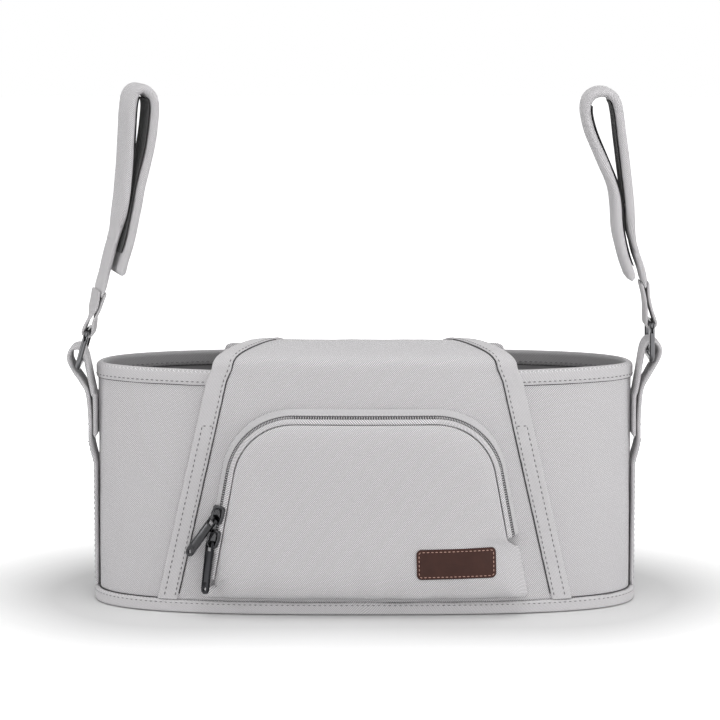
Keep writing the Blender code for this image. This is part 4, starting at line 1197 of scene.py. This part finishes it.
def rounded_point(share, width, height, corner):
    """Point at a share of the way round a rounded rectangle."""
    wide = width - 2 * corner
    tall = height - 2 * corner
    arc = corner * pi / 2
    run = (share % 1.0) * 2 * (wide + tall + 2 * arc)
    for side, (right, up) in zip((tall, wide, tall, wide), ((1, -1), (1, 1), (-1, 1), (-1, -1))):
        centre = Vector((right * wide / 2, up * tall / 2))
        start = atan2(up, right) - pi / 4
        if run < arc:
            angle = start + run / corner
            return centre + Vector((cos(angle), sin(angle))) * corner
        run -= arc
        if run < side:
            angle = start + pi / 2
            along = Vector((-sin(angle), cos(angle)))
            return centre + Vector((cos(angle), sin(angle))) * corner + along * run
        run -= side
    return Vector((width / 2, corner - height / 2))


def label_place(u, v, inset=0.0, out=0.0):
    """Lays the label on the panel: flat up to LABEL_FACE of v, then turned down as the cut edge."""
    flat = rounded_point(u, LABEL_WIDTH - 2 * inset, LABEL_HEIGHT - 2 * inset, LABEL_CORNER - inset)
    share = min(v / LABEL_FACE, 1)
    flat = flat * share
    x = LABEL_PLACE.x + flat.x * cos(LABEL_TILT) - flat.y * sin(LABEL_TILT)
    z = LABEL_PLACE.y + flat.x * sin(LABEL_TILT) + flat.y * cos(LABEL_TILT)
    down = max(v - LABEL_FACE, 0) / (1 - LABEL_FACE)
    rim = ease(0.90, 1.0, share)
    lift = 0.0012 - 0.0004 * rim**3 - 0.0012 * down + 0.00005 * ripple(x * 200, z * 200, 4.0)
    return panel_face(x, z, lift + out), (flat.x, flat.y)


bm = face_away(lay(160, 30, label_place, looped=True), (0, 0, 0.04))
make_piece("sewn_leather_label", bm, "body", LEATHER, ["leather_label"])
bm = bmesh.new()
path = [label_place(share, LABEL_FACE, inset=0.0017, out=0.0005)[0] for share in spread(0, 1, 200)]
count = sew(bm, path, [Vector((0, -1, 0))] * 201, length=0.0019, space=0.0009, width=0.0006)
make_piece("label_stitches", bm, "body", LABEL_THREAD)
print("label with", count, "stitches")

# %% [markdown]
# Sliders and pulls are die-cast metal, made by the plain part already. A copy of each is enough: its
# flat faces stay, and a narrow bevel gives every edge the highlight that cast metal has.

# %% Sliders and pulls


def metal_copy(name, node, body, look, bevel):
    """A copy of a plain node with soft edges."""
    bm = bmesh.new()
    bm.from_mesh(bpy.data.objects[node].data)
    bm.transform(bpy.data.objects[node].matrix_world)
    bmesh.ops.remove_doubles(bm, verts=bm.verts, dist=1e-5)
    bmesh.ops.dissolve_limit(bm, angle_limit=radians(2), verts=bm.verts, edges=bm.edges)
    bm.normal_update()
    piece = make_piece(name, bm, body, look, [node], crease=35)
    modifier = piece.modifiers.new("soft edges", "BEVEL")
    modifier.width = bevel
    modifier.segments = 3
    modifier.limit_method = "ANGLE"
    modifier.angle_limit = radians(35)
    modifier.harden_normals = True


CASTINGS = (
    ("upper_slider", METAL, 0.00022),
    ("lower_slider", METAL, 0.00022),
    ("upper_pull", METAL, 0.00025),
    ("lower_pull", BLACK_METAL, 0.00025),
)
for node, look, bevel in CASTINGS:
    metal_copy(f"cast_{node}", node, node, look, bevel)
print(len(CASTINGS), "cast pieces")

# %% [markdown]
# The rings are bent from round wire. A rounded rectangle of points is the wire's centre line, and a round
# section carried along it gives the ring. The pieces are laid upright and then leaned about the lower bar.

# %% Rings
RING_WIRE = 0.0036
RING_SPAN = 0.0250
RING_CORNER = 0.0060
RING_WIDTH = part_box("right_ring")[1][1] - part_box("right_ring")[0][1] - RING_WIRE
RING_OUT = 0.0128
RING_DROPS = {"left": 0.0025, "right": -0.0025}
RING_LEANS = {"left": 16.0, "right": 1.0}


def make_ring(word, side):
    """Bends one ring, and tells where its lower bar is and the way from there to its upper bar."""
    pivot = Vector((side * (HALF_LENGTH + RING_OUT), 0, RIM_HEIGHT - RING_DROPS[word]))
    tilt = Matrix.Rotation(-side * radians(RING_LEANS[word]), 3, "Y")

    def place(u, v):
        flat = rounded_point(v, RING_WIDTH, RING_SPAN, RING_CORNER)
        ahead = rounded_point(v + 0.002, RING_WIDTH, RING_SPAN, RING_CORNER) - flat
        outward = Vector((ahead.y, -ahead.x)).normalized()
        turn = 2 * pi * u
        flat = flat + outward * RING_WIRE / 2 * cos(turn)
        spot = Vector((RING_WIRE / 2 * sin(turn), flat.x, flat.y + RING_SPAN / 2))
        return pivot + tilt @ spot, (v, u)

    bm = lay(24, 160, place, rolled=True, looped=True)
    make_piece(f"wire_{word}_ring", bm, f"{word}_ring", METAL, [f"{word}_ring"])
    return pivot, tilt @ Vector((0, 0, RING_SPAN))


RINGS = {word: make_ring(word, side) for word, side in (("left", -1), ("right", 1))}
print("rings", [tuple(round(value, 4) for value in RINGS[word][0]) for word in RINGS])

# %% [markdown]
# Tabs, straps and webbing are all strips that keep their width along y and bend in the x-z plane. One
# rule lays them: a soft flat section carried along a smooth track. The tracks are lists of points read
# off the picture. The strap's section has round edges, because it is a tube of cloth round foam.

# %% Helper for strips
TAB_WIDTH = 0.026
TAB = 0.0030
TAB_FOLD_DROP = 0.054
TAB_STITCHED = 0.015
TAB_LOOPS = {
    "left": (
        (-1.75, -5.14), (-0.64, -2.92), (0.89, -0.56), (1.72, 1.53), (1.17, 3.33), (-0.36, 3.61),
        (-1.25, 2.22), (-1.78, -0.14), (-2.28, -2.92), (-2.78, -5.42),
    ),
    "right": (
        (-1.75, -5.97), (-0.36, -2.92), (1.03, -0.42), (1.72, 1.53), (1.17, 3.06), (-0.36, 3.61),
        (-1.33, 2.36), (-1.83, -0.14), (-2.28, -3.19), (-2.78, -6.25),
    ),
}


class Strip:
    """A track of (x, z) points with a turn about Z for each, on which pieces are laid."""

    def __init__(self, track, turns=None):
        self.track = track
        self.turns = turns or [0.0] * len(track)
        self.runs = lengths(track)
        self.length = self.runs[-1]
        self.steps = list(range(len(track)))
        last = len(track) - 1
        self.ways = [(track[min(i + 1, last)] - track[max(i - 1, 0)]).normalized() for i in self.steps]

    def at(self, run, across, out):
        """Point after a run along the track, moved across it and out from it to its left."""
        here = between(run, self.runs, self.track)
        way = between(run, self.runs, self.ways).normalized()
        turn = radians(between(run, self.runs, self.turns))
        side = Vector((sin(turn), cos(turn), 0))
        normal = Vector((way.x, 0, way.y)).cross(side).normalized()
        return Vector((here.x, 0, here.y)) + side * across + normal * out

    def piece(self, name, body, look, slot, nodes, width, thickness, **kinds):
        """Lays a soft strip; the width is a number or a rule by run."""
        low = kinds.get("low", 0.0)
        high = kinds.get("high", self.length)
        shift = kinds.get("shift", 0.0)
        power = kinds.get("power", (8.0, 3.0))
        soft = kinds.get("soft", 0.0002)
        bulge = kinds.get("bulge", 0.0)
        seed = kinds.get("seed", 0.0)
        steps = int((high - low) / 0.0016) + 8

        def place(u, v):
            run = low + (high - low) * v
            wide = width(run) if callable(width) else width
            thick = thickness(run) if callable(thickness) else thickness
            across, out = section(2 * pi * u, wide, thick, squareness=power)
            end = min(v, 1 - v) * (high - low) / max(thick / 2, 1e-6)
            close = sqrt(max(1 - (1 - min(end, 1)) ** 2, 0.03))
            face = 1 if out > 0 else -1
            rough = soft * ripple(run * 60, across * 60, seed + face) * face
            swell = bulge * ripple(run * 25, 0.4 * across * 25, seed + 20 + face) * face
            girth = section_runs(round(wide, 4), round(thick, 4), power)[round(48 * u)]
            return self.at(run, across, (out + rough + swell) * close + shift), (run, girth)

        bm = lay(48, steps, place, rolled=True)
        return make_piece(name, bm, body, look, nodes)

    def stitches(self, bm, across, out, low, high, **sizes):
        """Sews a row along the strip at a distance from its middle."""
        spots = spread(low, high, 80)
        path = [self.at(run, across, out) for run in spots]
        normals = [(self.at(run, across, out + copysign(0.001, out)) - p) for run, p in zip(spots, path)]
        return sew(bm, path, normals, **sizes)

    def cross_stitches(self, bm, half, out, run, **sizes):
        """Sews a row across the strip after a run."""
        path = [self.at(run, across, out) for across in spread(-half, half, 12)]
        normal = self.at(run, 0, out + copysign(0.001, out)) - self.at(run, 0, out)
        return sew(bm, path, [normal] * len(path), **sizes)


# %% [markdown]
# Tabs. Each is a strip of the bag's cloth sewn up the end wall. It goes round the ring's lower bar and
# comes back down behind itself, so its track is a long rise, a loop of points round the bar, and a
# return. Two rows of small stitches hold its edges, and two rows across it close the loop.

# %% Tabs
TAB_SEAM_INSET = 0.0022
TAB_SEAM_RUN = 0.100
TAB_SEAM_SPACE = 0.012


def tab_track(side, loop, bar):
    """Up the end wall, round the ring's lower bar and back down behind itself."""
    near = GAP + TAB / 2
    far = near + GAP + TAB
    foot = HEM_HEIGHT + 2 * GAP
    fold = RIM_HEIGHT - TAB_FOLD_DROP
    reach = RING_WIRE / 2 + GAP + TAB / 2
    heights = (foot, fold * 0.4, fold * 0.8, fold - TAB_STITCHED)
    outer = [(near, z) for z in heights] + [(far, fold), (far, fold + TAB_STITCHED)]
    loose = [(RING_OUT + out * reach, bar + up * reach) for out, up in loop]
    inner = [(near, fold + 2 * TAB_STITCHED), (near, fold + TAB)]
    return smooth([(side * (HALF_LENGTH + out), z) for out, z in outer + loose + inner], 8)


for word, side in (("left", -1), ("right", 1)):
    pivot, _ = RINGS[word]
    strip = Strip(tab_track(side, TAB_LOOPS[word], pivot.z))
    look = {"power": (8.0, 2.6), "soft": 0.00018, "seed": side * 3.0}
    name, nodes = f"folded_{word}_tab", [f"{word}_tab"]
    strip.piece(name, "body", TWILL, "trim", nodes, TAB_WIDTH, TAB * 0.95, **look)
    bm = bmesh.new()
    count = 0
    edge = TAB_WIDTH / 2 - TAB_SEAM_INSET
    for across in (-edge, edge):
        out = -side * (TAB / 2 - 0.0002)
        count += strip.stitches(bm, across, out, 0.003, strip.length * 0.42, width=0.0005)
    for run in (TAB_SEAM_RUN, TAB_SEAM_RUN + TAB_SEAM_SPACE):
        count += strip.cross_stitches(bm, TAB_WIDTH / 2 - 0.002, -side * TAB / 2, run)
    make_piece(f"{word}_tab_stitches", bm, "body", THREAD_PAINTED_SHADE)
    print(word, "tab made, with", count, "stitches")

# %% [markdown]
# The handlebar straps. Each rises from its webbing, opens into a loop at the top and closes on itself
# with hook-and-loop tape. The folded end lies beside the rising part at a fixed distance, so the closed
# stretch is found from the rise itself. Below it a soft neck leads to the webbing, which is thinner, is
# sewn to the neck and goes round the ring's upper bar.

# %% Straps
WEBBING_WIDTH = 0.025
WEBBING = 0.0022
WEBBING_SEAM = 0.016
STRAP_WIDTH = 0.038
STRAP_NECK_WIDTH = 0.028
STRAP = 0.0064
HOOK_TAPE = 0.0007
HOOK_TAPE_WIDTH = 0.031
CLOSED_GAP = 0.0003
STRAP_TURNS = {"left": -16.0, "right": 0.0}
NECK = 0.0042
STRAP_TRACKS = {
    "left": (
        (0.0100, 0.0360), (0.0118, 0.0440), (0.0150, 0.0560), (0.0192, 0.0700), (0.0230, 0.0900),
        (0.0252, 0.1100), (0.0268, 0.1320), (0.0283, 0.1530), (0.0308, 0.1620), (0.0360, 0.1650),
        (0.0412, 0.1620), (0.0438, 0.1555), (0.0432, 0.1440), (0.0402, 0.1240), (0.0345, 0.1020),
    ),
    "right": (
        (0.0050, 0.0290), (0.0068, 0.0370), (0.0110, 0.0490), (0.0145, 0.0640), (0.0160, 0.0820),
        (0.0188, 0.1040), (0.0218, 0.1260), (0.0240, 0.1430), (0.0262, 0.1510), (0.0310, 0.1560),
        (0.0375, 0.1565), (0.0435, 0.1530), (0.0460, 0.1450), (0.0430, 0.1310), (0.0355, 0.1130),
        (0.0275, 0.0940),
    ),
}
CLOSED_HEIGHTS = {
    "left": (0.0800, 0.0640, 0.0490, 0.0410),
    "right": (0.0780, 0.0620, 0.0470, 0.0350, 0.0290),
}
STRAP_STARTS = {"left": 0.0590, "right": 0.0480}
STRAP_FLARE = (0.03, 0.10)
LOOP_SHARES = (0.11, 0.37)
HOOK_SHARES = {"left": (0.50, 0.92), "right": (0.52, 0.93)}
WEBBING_NECK = 3
WEBBING_WRAP = (-100, -50, 0, 50, 100)


def beside(track, index, distance):
    """Point at a distance to the right of the track, seen along it."""
    way = (track[min(index + 1, len(track) - 1)] - track[max(index - 1, 0)]).normalized()
    return track[index] + Vector((way.y, -way.x)) * distance


def strap_track(side, top_bar, points, closed_heights, start):
    """The strap's track, up, round the open loop and down along itself, and the webbing's under it."""
    rise = smooth(points, 3)
    pitch = STRAP + 2 * (HOOK_TAPE + GAP) + CLOSED_GAP
    closed = []
    for height in closed_heights:
        index = next(i for i, point in enumerate(rise) if point.y >= height)
        closed.append(beside(rise, index, pitch))
    whole = smooth([*points, *closed], 3)
    first = next(i for i, point in enumerate(whole) if point.y >= start)
    track = [Vector((top_bar.x - side * inward, top_bar.z + up)) for inward, up in whole]
    return track[first:], track[: first + 1]


def make_strap(word, side):
    """Lays a strap with its two hook-and-loop tapes, and then its webbing."""
    pivot, span = RINGS[word]
    top_bar = pivot + span
    track, stem = strap_track(side, top_bar, STRAP_TRACKS[word], CLOSED_HEIGHTS[word], STRAP_STARTS[word])
    turn = -side * STRAP_TURNS[word]
    count = len(track)
    fine = smooth(track, 4)
    strip = Strip(fine, [turn] * len(fine))

    def width(run):
        share = between(run, strip.runs, strip.steps) / strip.steps[-1]
        return STRAP_NECK_WIDTH + (STRAP_WIDTH - STRAP_NECK_WIDTH) * ease(*STRAP_FLARE, share)

    def thickness(run):
        return NECK + (STRAP - NECK) * ease(0, 0.020, run)

    look = {"power": (7.0, 2.2), "soft": 0.00022, "bulge": 0.0005, "seed": side * 5.0}
    nodes = [f"{word}_strap"]
    body = f"{word}_strap"
    piece = strip.piece(f"padded_{word}_strap", body, TWILL, "fabric", nodes, width, thickness, **look)
    shift = side * (STRAP / 2 + GAP + HOOK_TAPE / 2)
    for kind, (foot, tip) in (("loop", LOOP_SHARES), ("hook", HOOK_SHARES[word])):
        first, last = round(count * foot), round(count * tip)
        look = {"shift": shift, "power": (14.0, 4.0), "soft": 0.00008}
        reach = {"low": strip.runs[first * 4], "high": strip.runs[(last - 1) * 4]}
        nodes = [f"{word}_{kind}_tape"]
        name = f"{word}_{kind}_cloth"
        strip.piece(name, body, NAP, "hooks", nodes, HOOK_TAPE_WIDTH, HOOK_TAPE, **look, **reach)
    make_webbing(word, side, top_bar, track, stem, turn)
    return strip


def make_webbing(word, side, top_bar, strap, stem, turn):
    """The strap's soft neck, and the webbing that is sewn to it and looped round the ring's upper bar."""
    body = f"{word}_strap"
    bar = Vector((top_bar.x, top_bar.z))
    lean = (stem[0] - bar).normalized()
    cross = Vector((lean.y, -lean.x)) * side
    radius = RING_WIRE / 2 + GAP + WEBBING / 2
    foot = bar + lean * radius * WEBBING_NECK
    seam = foot + lean * WEBBING_SEAM
    track = smooth([seam - lean * 0.001, *stem[1:-1:2], strap[0], strap[2], strap[3]], 8)
    neck = Strip(track, [turn] * len(track))

    def width(run):
        return WEBBING_WIDTH + 0.0015 * ease(0, neck.length, run) + 0.0006 * ripple(run * 90, side)

    def thickness(run):
        thinner = 1 - 0.5 * ease(neck.length - 0.014, neck.length, run)
        return WEBBING + (NECK - WEBBING) * ease(0, 0.008, run) * thinner

    look = {"power": (7.0, 2.4), "soft": 0.00035, "bulge": 0.0007, "seed": side * 9.0}
    neck.piece(f"soft_{word}_neck", body, TWILL, "fabric", (), width, thickness, **look)
    side_way = [(seam + lean * 0.0030, 0.0024), (seam - lean * 0.001, 0.0019)]
    side_way += [((seam + foot) / 2, 0.0014), (foot, 0.0019)]
    loop = [point - cross * wide for point, wide in side_way]
    for angle in WEBBING_WRAP:
        way = radians(angle)
        loop.append(bar + (cross * sin(way) - lean * cos(way)) * radius)
    loop += [point + cross * wide for point, wide in reversed(side_way)]
    track = smooth(loop, 10)
    strip = Strip(track, [turn * ease(foot.y - 0.004, foot.y + 0.008, point.y) for point in track])
    look = {"power": (10.0, 3.0), "soft": 0.0002, "seed": side * 7.0}
    name, nodes = f"woven_{word}_webbing", [f"{word}_webbing"]
    strip.piece(name, body, WEBBING_CLOTH, "trim", nodes, WEBBING_WIDTH, WEBBING, **look)
    bm = bmesh.new()
    for run in (0.005, strip.length - 0.005):
        strip.cross_stitches(bm, WEBBING_WIDTH / 2 - 0.002, side * WEBBING / 2, run)
    make_piece(f"{word}_webbing_stitches", bm, body, THREAD_PAINTED_SHADE)
    print(word, "webbing", round((strip.length + neck.length) * 1000), "mm")


STRAPS = {word: make_strap(word, side) for word, side in (("left", -1), ("right", 1))}
print("straps", [round(STRAPS[word].length * 1000) for word in STRAPS], "mm")

# %% [markdown]
# Last, the sizes. The dressed bag must keep the plain model's size, so the box round the plain model is
# printed.

# %% Sizes and finish
low, high = plain_box
print("plain", [round((b - a) * 1000, 1) for a, b in zip(low, high)])
